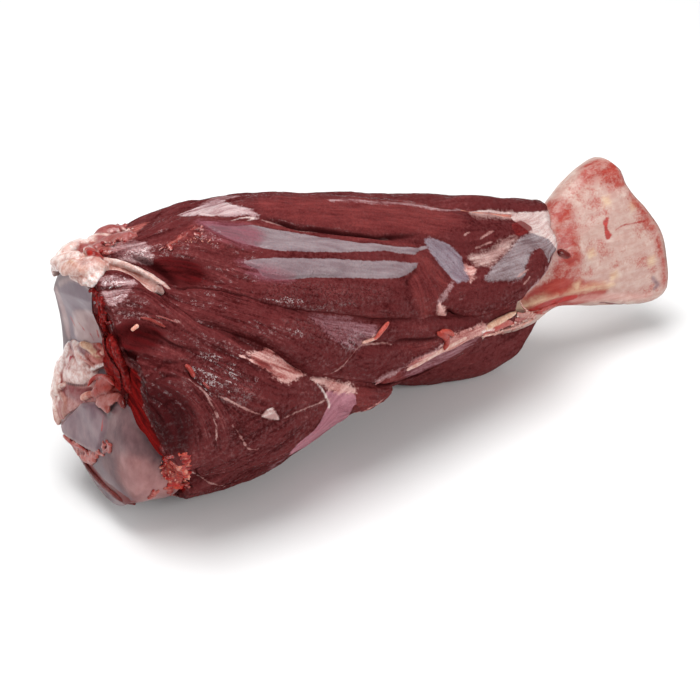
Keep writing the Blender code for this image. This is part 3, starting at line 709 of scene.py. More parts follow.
# Each muscle along the leg: the angle of its middle, how far its surface stands above the meat's
# radius, its half width and how far it bulges.
MUSCLES = {
    "elbow head": [(-212, -6, 1, 24, 8), (-190, -2, 2, 26, 9), (-168, 2, -1, 30, 9), (-145, 5, 3, 32, 10),
        (-115, 10, 1, 24, 8), (-90, 12, -4, 14, 5), (-75, 14, -9, 8, 3)],
    "long top": [(-125, -8, -5, 10, 4), (-95, -4, 0, 18, 7), (-60, -2, 3, 24, 9), (-20, 5, 3, 26, 9),
        (20, 12, 2, 24, 8), (60, 22, 0, 18, 7), (95, 25, -4, 12, 5), (115, 25, -10, 8, 3)],
    "strap": [(-130, 28, -3, 8, 4), (-100, 32, 1, 14, 6), (-60, 36, 1.5, 15, 6), (-20, 42, 1, 14, 6),
        (5, 46, -2, 10, 4), (18, 48, -7, 6, 3)],
    "belly": [(-155, 32, -4, 8, 4), (-125, 44, 1, 12, 7), (-90, 50, 3, 14, 9), (-50, 56, 3.5, 16, 10),
        (-15, 60, 3, 17, 9), (8, 66, -1, 12, 6), (18, 68, -6, 6, 3)],
    "wrist side": [(6, 72, -4, 8, 4), (25, 72, 1, 16, 9), (50, 68, 3, 20, 10), (75, 62, 3, 20, 10),
        (95, 58, 1, 14, 8), (110, 56, -6, 8, 4)],
    "back top": [(-212, -34, 6, 24, 8), (-190, -36, 5, 26, 9), (-168, -40, -1, 28, 9),
        (-120, -42, 0, 32, 10), (-60, -38, 0, 34, 11), (0, -35, 1, 30, 10), (60, -30, 1, 22, 8),
        (100, -25, 1, 14, 6), (132, -20, -1, 10, 4)],
    "thin top": [(40, -8, -3, 8, 4), (60, -6, 2, 10, 5), (90, -6, 3, 10, 5), (110, -8, 2, 10, 4),
        (130, -10, 0, 8, 3)],
    "dark lobe": [(-170, 36, -4, 5, 3), (-145, 46, 0, 10, 6), (-115, 60, 3, 18, 10), (-90, 70, 4, 20, 11),
        (-70, 74, 1, 14, 9), (-58, 76, -6, 8, 4)],
    "upper strand": [(-78, 66, -4, 6, 3), (-50, 70, 1, 10, 5), (-20, 82, 2, 11, 5), (10, 92, 1, 9, 4),
        (40, 96, -1, 6, 3), (70, 100, -6, 4, 2)],
    "middle strand": [(-75, 86, -4, 6, 3), (-45, 88, 1, 11, 5), (-10, 100, 1, 11, 5), (20, 106, 0, 8, 4),
        (50, 104, -3, 5, 2)],
    "lower strand": [(-60, 104, -4, 6, 3), (-35, 106, 0, 10, 5), (0, 116, 0, 9, 5), (30, 116, -2, 6, 3)],
    "front": [(-212, 75, 3, 55, 12), (-180, 88, 4, 66, 20), (-150, 95, 4, 68, 22), (-120, 105, 3, 62, 20),
        (-95, 112, 0, 50, 16), (-75, 118, -5, 35, 10)],
    "under": [(-190, 155, 1, 44, 12), (-150, 170, 7, 54, 14), (-110, 172, 7, 54, 14), (-75, 168, 1, 42, 12),
        (-40, 160, -4, 25, 9)],
    "upper": [(-212, 28, 0, 22, 8), (-185, 32, 1, 24, 9), (-160, 52, -1, 16, 7), (-135, 66, -4, 8, 4)],
    "flap": [(-75, 108, -4, 8, 4), (-55, 114, 1, 12, 5), (-35, 120, 0, 10, 5), (-20, 124, -5, 6, 3)],
    "hanging": [(-178, 235, -8, 25, 9), (-140, 238, -2, 34, 12), (-90, 236, 1, 36, 13),
        (-40, 222, 5, 38, 18), (0, 204, 18, 38, 24), (40, 193, 24, 38, 26), (80, 189, 24, 36, 26),
        (106, 187, 21, 26, 22), (120, 186, 14, 14, 12)],
    "back": [(-175, 262, -6, 22, 8), (-120, 262, 0, 30, 10), (-60, 262, 1, 30, 10), (0, 260, 0, 26, 9),
        (50, 255, -2, 20, 8), (95, 250, -6, 12, 6), (118, 250, -12, 6, 3)],
}
BACK_SEAM = [(-215, -78), (0, -78), (60, -74), (130, -72)]
TENDON_UPPER = [(-215, -2), (-190, -4), (-180, 1), (-172, 14), (-166, 25), (-160, 29), (-150, 32),
    (-129, 42), (-114, 50), (-95, 56), (-71, 62), (-26, 74), (5, 80), (27, 87), (63, 82), (84, 78),
    (107, 60), (120, 42)]
MUSCLE_STEP = 0.8        # of the fine grids, in millimetres
SEAM_TUCK = 4.5          # how far each piece runs on under its neighbour
INTO_BONE = 1.0
FREE_ROUND = 8.0         # over how much a free edge rounds off
WALL_SPARE = 6.0


def meat(x, angle):
    """How far the meat reaches from the leg's axis."""
    behind = np.clip(-np.sin(np.radians(angle)), 0, 1) ** 1.5
    near_elbow = np.clip((-165 - x) / 40, 0, 1)
    radius = line(MEAT_RADIUS, x) * (1 - BACK_FLAT * behind * near_elbow)
    return hull([radius - CORE_SINK] + [swelling(rows, x, angle, radius) for rows in MUSCLES.values()])


def joined_loops(outer, inner):
    """Triangles between two closed loops of points, each a list of (share of the way round, index)."""
    faces = []
    a = b = 0
    while a < len(outer) or b < len(inner):
        next_a = outer[a + 1][0] if a + 1 < len(outer) else 4.0
        next_b = inner[b + 1][0] if b + 1 < len(inner) else 4.0
        i, j = outer[a % len(outer)][1], inner[b % len(inner)][1]
        if b >= len(inner) or (a < len(outer) and next_a <= next_b):
            faces.append((i, outer[(a + 1) % len(outer)][1], j))
            a += 1
        else:
            faces.append((i, inner[(b + 1) % len(inner)][1], j))
            b += 1
    return faces


def rim(rows, cols, first):
    """The outer loop of a grid of points, from its first index, as (share of the way round, index)."""
    index = first + np.arange(rows * cols).reshape(rows, cols)
    sides = [index[0, :-1], index[:-1, -1], index[-1, :0:-1], index[:0:-1, 0]]
    return [(k + n / len(side), int(v)) for k, side in enumerate(sides) for n, v in enumerate(side)]


def closed_form(sheet, under):
    """Points and faces of a sheet and the coarse grid that closes it from inside."""
    rows, cols = sheet.shape
    inner_rows, inner_cols = under.shape[:2]
    index = rows * cols + np.arange(inner_rows * inner_cols).reshape(inner_rows, inner_cols)
    faces = sheet.faces.tolist() + grid_faces(index)[:, [0, 3, 2, 1]].tolist()
    faces += joined_loops(rim(rows, cols, 0), rim(inner_rows, inner_cols, rows * cols))
    return np.vstack([sheet.finished().reshape(-1, 3), under.reshape(-1, 3)]), faces


def muscle_grid(start, end, near, far, start_round=0.0, end_round=0.0, free_near=None, free_far=None,
                dips=((5.0, 0.07), (5.0, 0.07)), step=MUSCLE_STEP, foot=None):
    """Grids of x, angle and reach over a piece, that dives at its seams and rounds off where it is free."""
    probe = np.linspace(float(np.min(start(np.array([0.0])))), float(np.max(end(np.array([0.0])))), 60)
    arc = np.radians(1) * line(MEAT_RADIUS, probe) * (far(probe) - near(probe)) + SEAM_TUCK + SEAM_TUCK
    cols = int(arc.max() / step)
    share = np.linspace(0, 1, cols)
    middle = np.full(cols, (probe[0] + probe[-1]) / 2)
    first, last = middle, middle
    for _ in range(4):
        first = start(near(first) + share * (far(first) - near(first)))
        last = end(near(last) + share * (far(last) - near(last)))
    angle_first = near(first) + share * (far(first) - near(first))
    walls = [(meat(x, angle_first) - bone_reach(x, angle_first)).max() for x in (first, last)]
    turns = [int((wall + WALL_SPARE) / step) if rounding else 0
             for wall, rounding in zip(walls, (start_round, end_round))]
    start_turn = np.linspace(0, np.pi / 2, turns[0] + 1)[:-1]
    end_turn = np.linspace(np.pi / 2, 0, turns[1] + 1)[1:]
    body = np.linspace(0, 1, int((last - first).max() / step))[:, None]
    foot_x, foot_reach = foot(angle_first) if foot else (first, None)
    x = np.concatenate([first + start_round * (1 - np.cos(start_turn))[:, None]
                        + (foot_x - first) * (1 - np.sin(start_turn))[:, None],
                        first + start_round + body * (last - end_round - first - start_round),
                        last - end_round * (1 - np.cos(end_turn))[:, None]])
    full = np.concatenate([np.sin(start_turn), np.ones(len(body)), np.sin(end_turn)])[:, None]
    around = np.radians(1) * line(MEAT_RADIUS, x)
    loose_near = free_near(x) if free_near else np.zeros_like(x)
    loose_far = free_far(x) if free_far else np.zeros_like(x)
    low_angle = near(x) - SEAM_TUCK * (1 - loose_near) / around
    high_angle = far(x) + SEAM_TUCK * (1 - loose_far) / around
    angle = low_angle + share * (high_angle - low_angle)
    reach, inside = meat(x, angle), bone_reach(x, angle) - INTO_BONE
    if foot:
        inside[:len(start_turn)] = foot_reach - INTO_BONE
    for (width, depth), distance, loose in ((dips[0], (angle - near(x)) * around, loose_near),
                                            (dips[1], (far(x) - angle) * around, loose_far)):
        reach = reach - (1 - loose) * depth * np.maximum(0, width - distance) ** 2
        turn = np.clip(distance / FREE_ROUND, 0.0, 1)
        full = full * (1 - loose + loose * np.sqrt(1 - (1 - turn) ** 2))
    return x, angle, inside + np.maximum((reach - inside) * full, 0), full + 0 * x


def under_grid(x, angle, every=(9, 14)):
    """A coarse grid inside the bone, under a fine one."""
    rows = np.unique(np.append(np.arange(0, x.shape[0], every[0]), x.shape[0] - 1))
    cols = np.unique(np.append(np.arange(0, x.shape[1], every[1]), x.shape[1] - 1))
    x, angle = x[np.ix_(rows, cols)], angle[np.ix_(rows, cols)]
    return place(x, angle, bone_reach(x, angle) * 0.75)


def along(rows):
    return lambda x: line(rows, x)


def steady(x):
    return lambda angle: np.full(np.shape(angle), float(x))


# What lies on the meat, from the lowest to the highest: a mark, its two colours, how much it hides,
# how soft and how ragged its edge is in millimetres, its roughness and how far fibres show through.
LAYERS = [
    ("bright", "#723231", "#582223", 0.70, 3.0, 2.4, 0.30, 1.2),
    # Painted shade: a near-black red where the lobe's lower belly lies in shade.
    ("dusk", "#3c1214", "#280a0c", 0.92, 6.0, 3.0, 0.32, 1.0),
    # Darker patches; the one in the lobe's hollow is painted shade.
    ("dark", "#4a1012", "#300809", 0.75, 3.5, 2.0, 0.32, 1.0),
    ("pale", "#a35c55", "#8a413c", 0.75, 1.6, 1.6, 0.30, 1.4),
    ("blood", "#761514", "#4e0e0f", 0.92, 1.2, 1.2, 0.24, 0.6),
    ("gore", "#7c1716", "#541011", 0.94, 1.6, 1.8, 0.22, 0.7),
    # Painted shade: near black, for a cavity in the cut meat.
    ("hole", "#160304", "#220506", 0.97, 1.2, 0.8, 0.30, 0.3),
    ("mauve", "#8e666c", "#6c3a40", 0.60, 2.2, 2.2, 0.26, 1.4),
    # Pale membrane; on the lobe's top and on the elbow head it is a painted sheen.
    ("fascia", "#a98a8b", "#86585b", 0.60, 1.2, 1.8, 0.30, 1.3),
    ("skin", "#887a7d", "#736166", 0.92, 0.45, 0.7, 0.24, 0.8),
    ("pearly", "#b9a2a2", "#8a6468", 0.90, 1.2, 2.2, 0.24, 1.6),
    ("silver", "#968a8d", "#6c5a5d", 0.85, 1.1, 1.6, 0.24, 1.5),
    ("film", "#bb9f99", "#936a66", 0.75, 2.5, 2.5, 0.28, 1.4),
    ("veil", "#7c4a54", "#62323b", 0.80, 5.0, 2.5, 0.26, 1.2),
    ("lavender", "#867a82", "#67545f", 0.88, 0.8, 1.2, 0.24, 1.1),
    ("purple", "#ad7782", "#8a5661", 0.88, 0.6, 1.0, 0.25, 0.8),
    ("cream", "#cba29b", "#9a544f", 0.88, 1.3, 2.4, 0.34, 1.5),
    ("orange", "#c78c78", "#a85348", 0.88, 1.0, 1.8, 0.34, 1.0),
    ("vein", "#b08984", "#8a5854", 0.75, 0.45, 0.6, 0.28, 0.8),
    ("white", "#cfc1bd", "#ab8682", 0.92, 0.7, 0.7, 0.26, 1.0),
    ("red", "#7c2624", "#581617", 0.85, 0.8, 1.4, 0.26, 1.0),
]


SMOOTHER_FROM = 70.0     # how far from the elbow the meat gets smoother, and over what length
SMOOTHER_OVER = 60.0


def flesh(name, marks, shades=("#3b1112", "#562324", "#6e3535")):
    """Wet raw meat, with everything that is marked on it."""
    shader = Shader(name, Coat_Roughness=0.10, Coat_IOR=1.5, Subsurface_Scale=0.002,
                    Subsurface_Radius=(1.0, 0.25, 0.2), Subsurface_Weight=0.08, Specular_IOR_Level=0.0)
    cloud, grain, speck = shader.noise(24, 3), shader.noise(2.2, 3), shader.noise(0.8, 2)
    fibre, bundle = shader.read("fibre"), shader.read("bundle")
    thread = shader.read("thread") if "thread" in marks else 0.0
    ragged = (grain - 0.5) * 2.0 + (speck - 0.5) * 1.0 + fibre * 0.35 + thread * 0.15
    tone = 0.45 + fibre * 0.09 + thread * 0.08 + bundle * 0.09 + (cloud - 0.5) * 0.8 + (grain - 0.5) * 0.7
    tone = tone + (speck - 0.5) * 0.5
    low, middle, high = shades
    colour = shader.mix(shader.ramp(tone, 0.1, 0.5), low, middle)
    colour = shader.mix(shader.ramp(tone, 0.5, 1.0), colour, high)
    gloss = 0.32 + (grain - 0.5) * 0.12
    streaks = 0.5 + fibre * 0.12 + thread * 0.14 + (speck - 0.5) * 0.5
    for mark, one, other, hides, soft, wild, roughness, through in LAYERS:
        if mark not in marks:
            continue
        depth = shader.read(mark) + ragged * wild
        share = shader.ramp(depth, -soft, soft) * (hides + (streaks - 0.5) * (1.05 - hides) * 2.5 * through)
        own = shader.mix(shader.ramp(streaks + (cloud - 0.5) * 0.8, 0.2, 0.8), other, one)
        colour = shader.mix(share, colour, own)
        gloss = gloss + share * (roughness - gloss)
    # Painted shade: the colour darkens towards near black along the sunk creases.
    if "hollow" in marks:
        colour = shader.mix(shader.ramp(shader.read("hollow"), 0.0, 1.0), colour, "#220607")
    pimples = shader.ramp(shader.noise(1.4, 1), 0.52, 0.72)
    glint = shader.ramp(shader.read("glint") + ragged, -1.0, 4.0) if "glint" in marks else 0.0
    height = thread * 0.12 + grain * 0.7 + speck * 0.3
    height = height + pimples * (glint * 2.0 + 0.25 + shader.ramp(cloud, 0.45, 0.65) * 0.6)
    bump = shader.bump(0.7, 0.0006, height)
    sparkle = shader.ramp(grain * 0.4 + speck * 0.6, 0.48, 0.58)
    wet = 0.03 + shader.ramp(grain * 0.5 + speck * 0.5, 0.50, 0.64) * 0.5 + glint * sparkle
    matte = 0.0
    for mark in ("hollow", "dark", "hole", "gore", "blood"):
        if mark in marks:
            dry = shader.ramp(shader.read(mark), 0.0, 1.0)
            wet, gloss = wet * (1 - dry), gloss + dry * (0.45 - gloss)
            matte = (dry * 0.97).math("MAXIMUM", matte)
    shader.give(Base_Color=colour, Roughness=gloss, Coat_Weight=wet, Normal=bump)
    if isinstance(matte, Number):
        dull = shader.node("BsdfDiffuse", {}, {"Color": colour, "Normal": bump})
        wet_side = Number(shader, shader.surface.outputs[0])
        both = shader.node("MixShader", {}, {0: matte, 1: wet_side, 2: dull})
        shader.feed(shader.tree.nodes["Material Output"].inputs["Surface"], both)
    return shader.material


def fibrous(sheet, strokes, seed, coarse=1.0):
    """Combs the fibres of a sheet, and gives them their relief and their two marks."""
    sheet.comb(strokes)
    bundle = sheet.combed(rough(sheet.points, 4.5, seed), 22)
    fibre = sheet.combed(rough(sheet.points, 1.7, seed + 5), 10)
    thread = sheet.combed(np.random.default_rng(seed).normal(size=sheet.shape), 5)
    from_elbow = (sheet.points[..., 0] - OFFSET[0]) / MM + 215
    fade = step_up((from_elbow - SMOOTHER_FROM) / SMOOTHER_OVER)
    for mark, texture in (("fibre", fibre), ("bundle", bundle), ("thread", thread)):
        sheet.marks[mark] = texture * (1 - 0.55 * fade)
    calm = (1 - 0.8 * step_up((sheet.covered() + 1) / 2)) * (1 - 0.65 * fade)
    waves = rough(sheet.points, 24, seed + 9, 2) * 0.8 + rough(sheet.points, 8, seed + 11, 2) * 0.35
    sheet.relief += calm * (0.32 * coarse * bundle + 0.15 * fibre + 0.07 * thread) + waves


def flesh_object(name, sheet, under, finish, *shades):
    body = shown(name, *closed_form(sheet, under), sheet)
    body.data.materials.append(flesh(finish, sheet.marks, *shades))
    return body


BRIGHT_HEAD = [(96, 240), (104, 232), (120, 228), (135, 228), (132, 240), (118, 252), (102, 255)]
HEAD_SHINE = [(112, 244), (126, 240), (146, 242), (152, 252), (150, 264), (130, 262), (114, 256)]
TOP_START = ((-62, -46), (-176, -188))      # angles, and where along the leg it starts there
TOP_END = ((-20, 20), (130, 118))
TOP_FREE = 70            # from here on its lower edge is free
TOP_FADE = 10
TOP_FEATURES = {
    "long skin": (patch, "skin", [(206, 224), (228, 226), (250, 226), (275, 229), (300, 233),
        (320, 237), (345, 241), (370, 244), (400, 247), (415, 248), (428, 245), (430, 247), (420, 250),
        (414, 255), (400, 253), (385, 251), (330, 252), (280, 251), (262, 248), (245, 244), (232, 240),
        (222, 236), (214, 231)], 0.9, 2.0),
    "lower skin": (patch, "skin", [(243, 262), (255, 259), (280, 258), (340, 259), (370, 261),
        (395, 261), (410, 263), (418, 263), (416, 268), (408, 274), (395, 278), (350, 278), (310, 278),
        (290, 280), (275, 279), (262, 276), (258, 270)], 0.9, 2.0),
    "pale patch": (patch, "pearly", [(180, 216), (188, 212), (197, 207), (206, 203), (216, 199),
        (222, 200), (230, 204), (245, 207), (252, 210), (259, 216), (256, 218), (246, 215), (232, 216),
        (192, 216)], 0.5),
    "pale film": (patch, "fascia", [(196, 206), (210, 198), (225, 196), (240, 197), (222, 200)]),
    "pale shred": (streak, "white", [(232, 220), (240, 218), (250, 217), (254, 218),
        (247, 221)], 1.2, 0.3),
    # The creases in this table are sunk and darkened with painted shade.
    "long groove": (crease, "hollow", [(259, 217), (280, 223), (300, 229), (320, 231), (340, 234),
        (360, 237), (376, 239), (392, 238), (418, 236)], 1.3, 2.2, 0.85),
    "bright strand": (streak, "bright", [(235, 222), (260, 224), (285, 228), (320, 234), (350, 239),
        (385, 243), (415, 246)], 3.0, 0.5),
    "top fascia": (streak, "fascia", [(330, 200), (350, 201), (370, 203), (400, 204), (430, 208),
        (445, 210), (460, 210)], 3.0, 0.4),
    "long top": (patch, "bright", [(262, 198), (330, 197), (400, 200), (440, 208), (470, 222),
        (440, 234), (380, 234), (330, 228), (290, 218), (262, 212)]),
    "long skin start": (patch, "veil", [(200, 222), (222, 222), (246, 226), (262, 234), (256, 246),
        (232, 244), (210, 234)]),
    "lower skin start": (patch, "veil", [(240, 262), (262, 266), (276, 270), (292, 276), (285, 282),
        (262, 279)]),
    "fat line": (patch, "film", [(470, 214), (490, 213), (510, 213), (514, 215), (508, 218),
        (495, 219), (476, 218)], 0.5),
    "fat thread": (streak, "orange", [(462, 211), (478, 214), (496, 216), (512, 216)], 1.6, 0.4),
    "thread on the cap": (streak, "white", [(470, 213), (490, 212), (512, 214),
        (530, 213)], 1.4, 0.3),
    "white cap": (patch, "white", [(511, 216), (535, 212), (547, 212), (552, 218), (554, 228),
        (556, 250), (548, 240), (530, 232), (518, 224)], 0.4),
    "cap island": (patch, "red", [(512, 224), (520, 221), (528, 225), (532, 230), (518, 236),
        (514, 231)], 0.5),
    "silver band": (patch, "silver", [(530, 233), (540, 231), (550, 236), (556, 246), (551, 257),
        (549, 262), (543, 250), (538, 247), (530, 255), (525, 268), (524, 277), (510, 282), (502, 281),
        (488, 282), (484, 280), (492, 268), (503, 257), (515, 243), (522, 237)], 0.4),
    "cream band": (patch, "film", [(470, 256), (490, 251), (503, 240), (518, 237), (505, 252),
        (492, 264), (480, 267), (470, 262)], 0.3),
    "lavender patch": (patch, "lavender", [(425, 240), (432, 238), (448, 244), (459, 254), (463, 263),
        (470, 280), (462, 281), (457, 283), (453, 279), (445, 270), (435, 258), (430, 250)], 0.5),
    "cream beside": (patch, "cream", [(462, 262), (470, 266), (476, 268), (474, 275), (470, 281),
        (464, 268)], 0.5),
    "grey below": (patch, "fascia", [(452, 280), (448, 288), (442, 293), (437, 300), (436, 305),
        (444, 300), (452, 286)]),
    "cream below": (patch, "cream", [(436, 305), (440, 304), (447, 316), (437, 315)], 0.4),
    "rim skin": (streak, "fascia", [(556, 246), (559, 258), (555, 270), (545, 283),
        (533, 294)], 3.4, 0.5),
    "white slashes": (streak, "vein", [[(480, 239), (487, 234), (494, 231)], [(464, 236), (467, 233),
        (470, 232)], [(516, 278), (522, 273), (529, 269)], [(523, 284), (527, 280), (530, 276)],
        [(476, 248), (484, 245), (492, 242)]], 1.2, 0.2),
    "groove lip": (streak, "vein", [[(262, 219), (274, 223), (286, 226)], [(292, 228), (304, 231),
        (318, 232)], [(326, 234), (344, 236), (358, 238)], [(364, 239), (376, 240), (388, 239)]], 1.5, 0.4),
    "top glints": (patch, "glint", [(262, 286), (290, 281), (340, 282), (388, 284), (392, 300),
        (370, 304), (330, 312), (285, 308), (262, 300)]),
    "side crease": (crease, "hollow", [(180, 290), (200, 293), (240, 300), (260, 308), (290, 313),
        (330, 318), (375, 322), (418, 321)], 2.0, 2.6, 0.9),
    "small bundle": (patch, "", [(358, 316), (370, 308), (385, 303), (400, 305), (415, 313),
        (418, 320), (380, 321)], 1.3, 4),
    "step edge": (crease, "hollow", [(418, 268), (412, 275), (408, 282), (407, 288)], 1.2, 0.9, 0.5),
    "smooth muscle": (patch, "bright", [(410, 250), (425, 252), (436, 266), (448, 285), (438, 300),
        (436, 316), (455, 322), (425, 322), (414, 300), (410, 280)]),
    "wrist crease": (crease, "hollow", [(447, 308), (452, 316), (465, 320),
        (475, 321)], 1.5, 2.0, 0.9),
    "frayed ridge": (streak, "bright", [(166, 246), (175, 243), (185, 237), (193, 229), (198, 228),
        (205, 231), (215, 237), (222, 243), (230, 245), (238, 252)], 4.5, 1.5),
    "bright head": (patch, "pale", BRIGHT_HEAD),
    "bright head glint": (patch, "glint", BRIGHT_HEAD),
    # Painted sheen: pale colour where the fibres of the elbow head shine.
    "head shine": (patch, "fascia", HEAD_SHINE),
    "head shine glint": (patch, "glint", HEAD_SHINE),
    "pale wedge": (patch, "pale", [(117, 236), (126, 230), (133, 226), (150, 221), (136, 232),
        (124, 238)], 0.4),
    "dark head": (patch, "dark", [(150, 262), (170, 255), (196, 262), (206, 274), (196, 286),
        (176, 286), (160, 276)], -1.0, 6),
    "cord seam": (crease, "hollow", [(128, 256), (142, 260), (156, 266), (168, 275),
        (178, 284)], 2.0, 2.2, 0.8),
}

UPPER_STROKES = [
    [(100, 258), (125, 250), (150, 240), (175, 228), (200, 215)],
    [(110, 262), (140, 262), (170, 262), (200, 268), (240, 282)],
    [(120, 240), (150, 226), (180, 212), (210, 200)], [(200, 240), (240, 250), (300, 262), (360, 270)],
    [(190, 275), (240, 290), (300, 300), (370, 308)], [(280, 215), (340, 220), (400, 226), (450, 232)],
    [(250, 200), (320, 200), (400, 204), (480, 206)], [(210, 228), (280, 240), (350, 246), (420, 250)],
    [(450, 300), (480, 290), (510, 280), (540, 270)], [(455, 312), (490, 304), (525, 290), (550, 270)],
    [(470, 250), (500, 245), (530, 238)], [(415, 262), (425, 285), (432, 310)],
    [(430, 244), (445, 258), (455, 272)],
]

x, angle, reach, _ = muscle_grid(lambda a: np.interp(a, *TOP_START), lambda a: np.interp(a, *TOP_END),
                                 along(BACK_SEAM), along(TENDON_UPPER), start_round=3, end_round=7,
                                 step=0.86, dips=((5, 0.05), (4, 0.09)),
                                 free_far=lambda x: step_up((x - TOP_FREE) / TOP_FADE))
upper = Sheet(place(x, angle, reach))
drawn(upper, TOP_FEATURES)
fibrous(upper, UPPER_STROKES, seed=3)
extensors = flesh_object("extensor_meat", upper, under_grid(x, angle), "wet meat of the top")
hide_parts("extensor_muscles")
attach(extensors, "root")


# --- The side muscles ------------------------------------------
# Long thin bellies between the top muscles and the big lobe, which draw together towards the
# wrist. They are held by the same tendons and skins.

SIDE_FEATURES = {
    "mauve skin": (patch, "mauve", [(310, 316), (325, 318), (352, 320), (372, 324), (378, 330),
        (372, 338), (355, 350), (335, 340), (322, 328)], 0.3),
    "side glints": (patch, "glint", [(278, 318), (300, 316), (330, 320), (360, 326), (372, 340),
        (350, 352), (320, 346), (292, 334)]),
    "white branch": (streak, "vein", [[(332, 373), (340, 368), (350, 358), (355, 350), (362, 345),
        (385, 343), (392, 345)]], 1.2, 0.3),
    "cream blob": (patch, "cream", [(362, 341), (376, 336), (366, 343)], 0.6),
    "side lens": (patch, "bright", [(400, 349), (412, 344), (438, 342), (430, 350),
        (418, 354)], 1.0, 3),
    # The creases in this table are sunk and darkened with painted shade.
    "lens edge": (crease, "hollow", [(392, 345), (400, 341), (420, 340), (440, 338)], 1.2, 0.8, 0.7),
    "whitish band": (streak, "fascia", [(375, 382), (400, 367), (420, 357), (440, 347),
        (447, 340)], 3.0, 0.4),
    "cream strand": (patch, "cream", [(405, 364), (420, 357), (436, 349), (443, 344), (425, 359),
        (406, 366)], 0.5),
    "side oval": (patch, "bright", [(378, 384), (395, 368), (407, 370), (400, 377),
        (382, 385)], 0.8, 2),
    "neck tendon": (patch, "cream", [(452, 335), (462, 331), (475, 326), (483, 323), (489, 327),
        (488, 334), (470, 337), (452, 347), (440, 350)], 0.9),
    "mauve band": (patch, "mauve", [(400, 372), (420, 362), (440, 352), (480, 337), (450, 357),
        (415, 375)], 0.2),
    "lower crease": (crease, "hollow", [(335, 378), (370, 385), (390, 384), (410, 378), (430, 370),
        (445, 362)], 1.4, 1.5, 0.9),
}
SIDE_STROKES = [
    [(200, 296), (260, 315), (320, 332), (360, 350)], [(260, 320), (310, 345), (350, 370)],
    [(340, 330), (380, 335), (420, 335), (460, 330)], [(370, 375), (400, 360), (440, 345), (480, 330)],
]
LOBE_UPPER = [(-215, 12), (-205, 12), (-190, 9), (-181, 14), (-172, 28), (-166, 39), (-160, 47), (-149, 53),
    (-131, 62), (-105, 79), (-68, 97), (-24, 119), (0, 123), (30, 118), (75, 108)]

x, angle, reach, _ = muscle_grid(steady(-170), steady(76), along(TENDON_UPPER), along(LOBE_UPPER),
                                 start_round=2, end_round=10, dips=((4, 0.05), (5, 0.09)))
side = Sheet(place(x, angle, reach))
drawn(side, SIDE_FEATURES)
fibrous(side, SIDE_STROKES, seed=23)
side_meat = flesh_object("side_meat", side, under_grid(x, angle), "wet meat of the side")
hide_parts("side_muscles")
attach(side_meat, "root")


# --- The elbow lobe --------------------------------------------
# The big lobe that hangs over the front of the elbow and under it: coarse red meat whose bundles
# fan out from the elbow, with a deep red cut edge and patches of fat and skin at its far end.

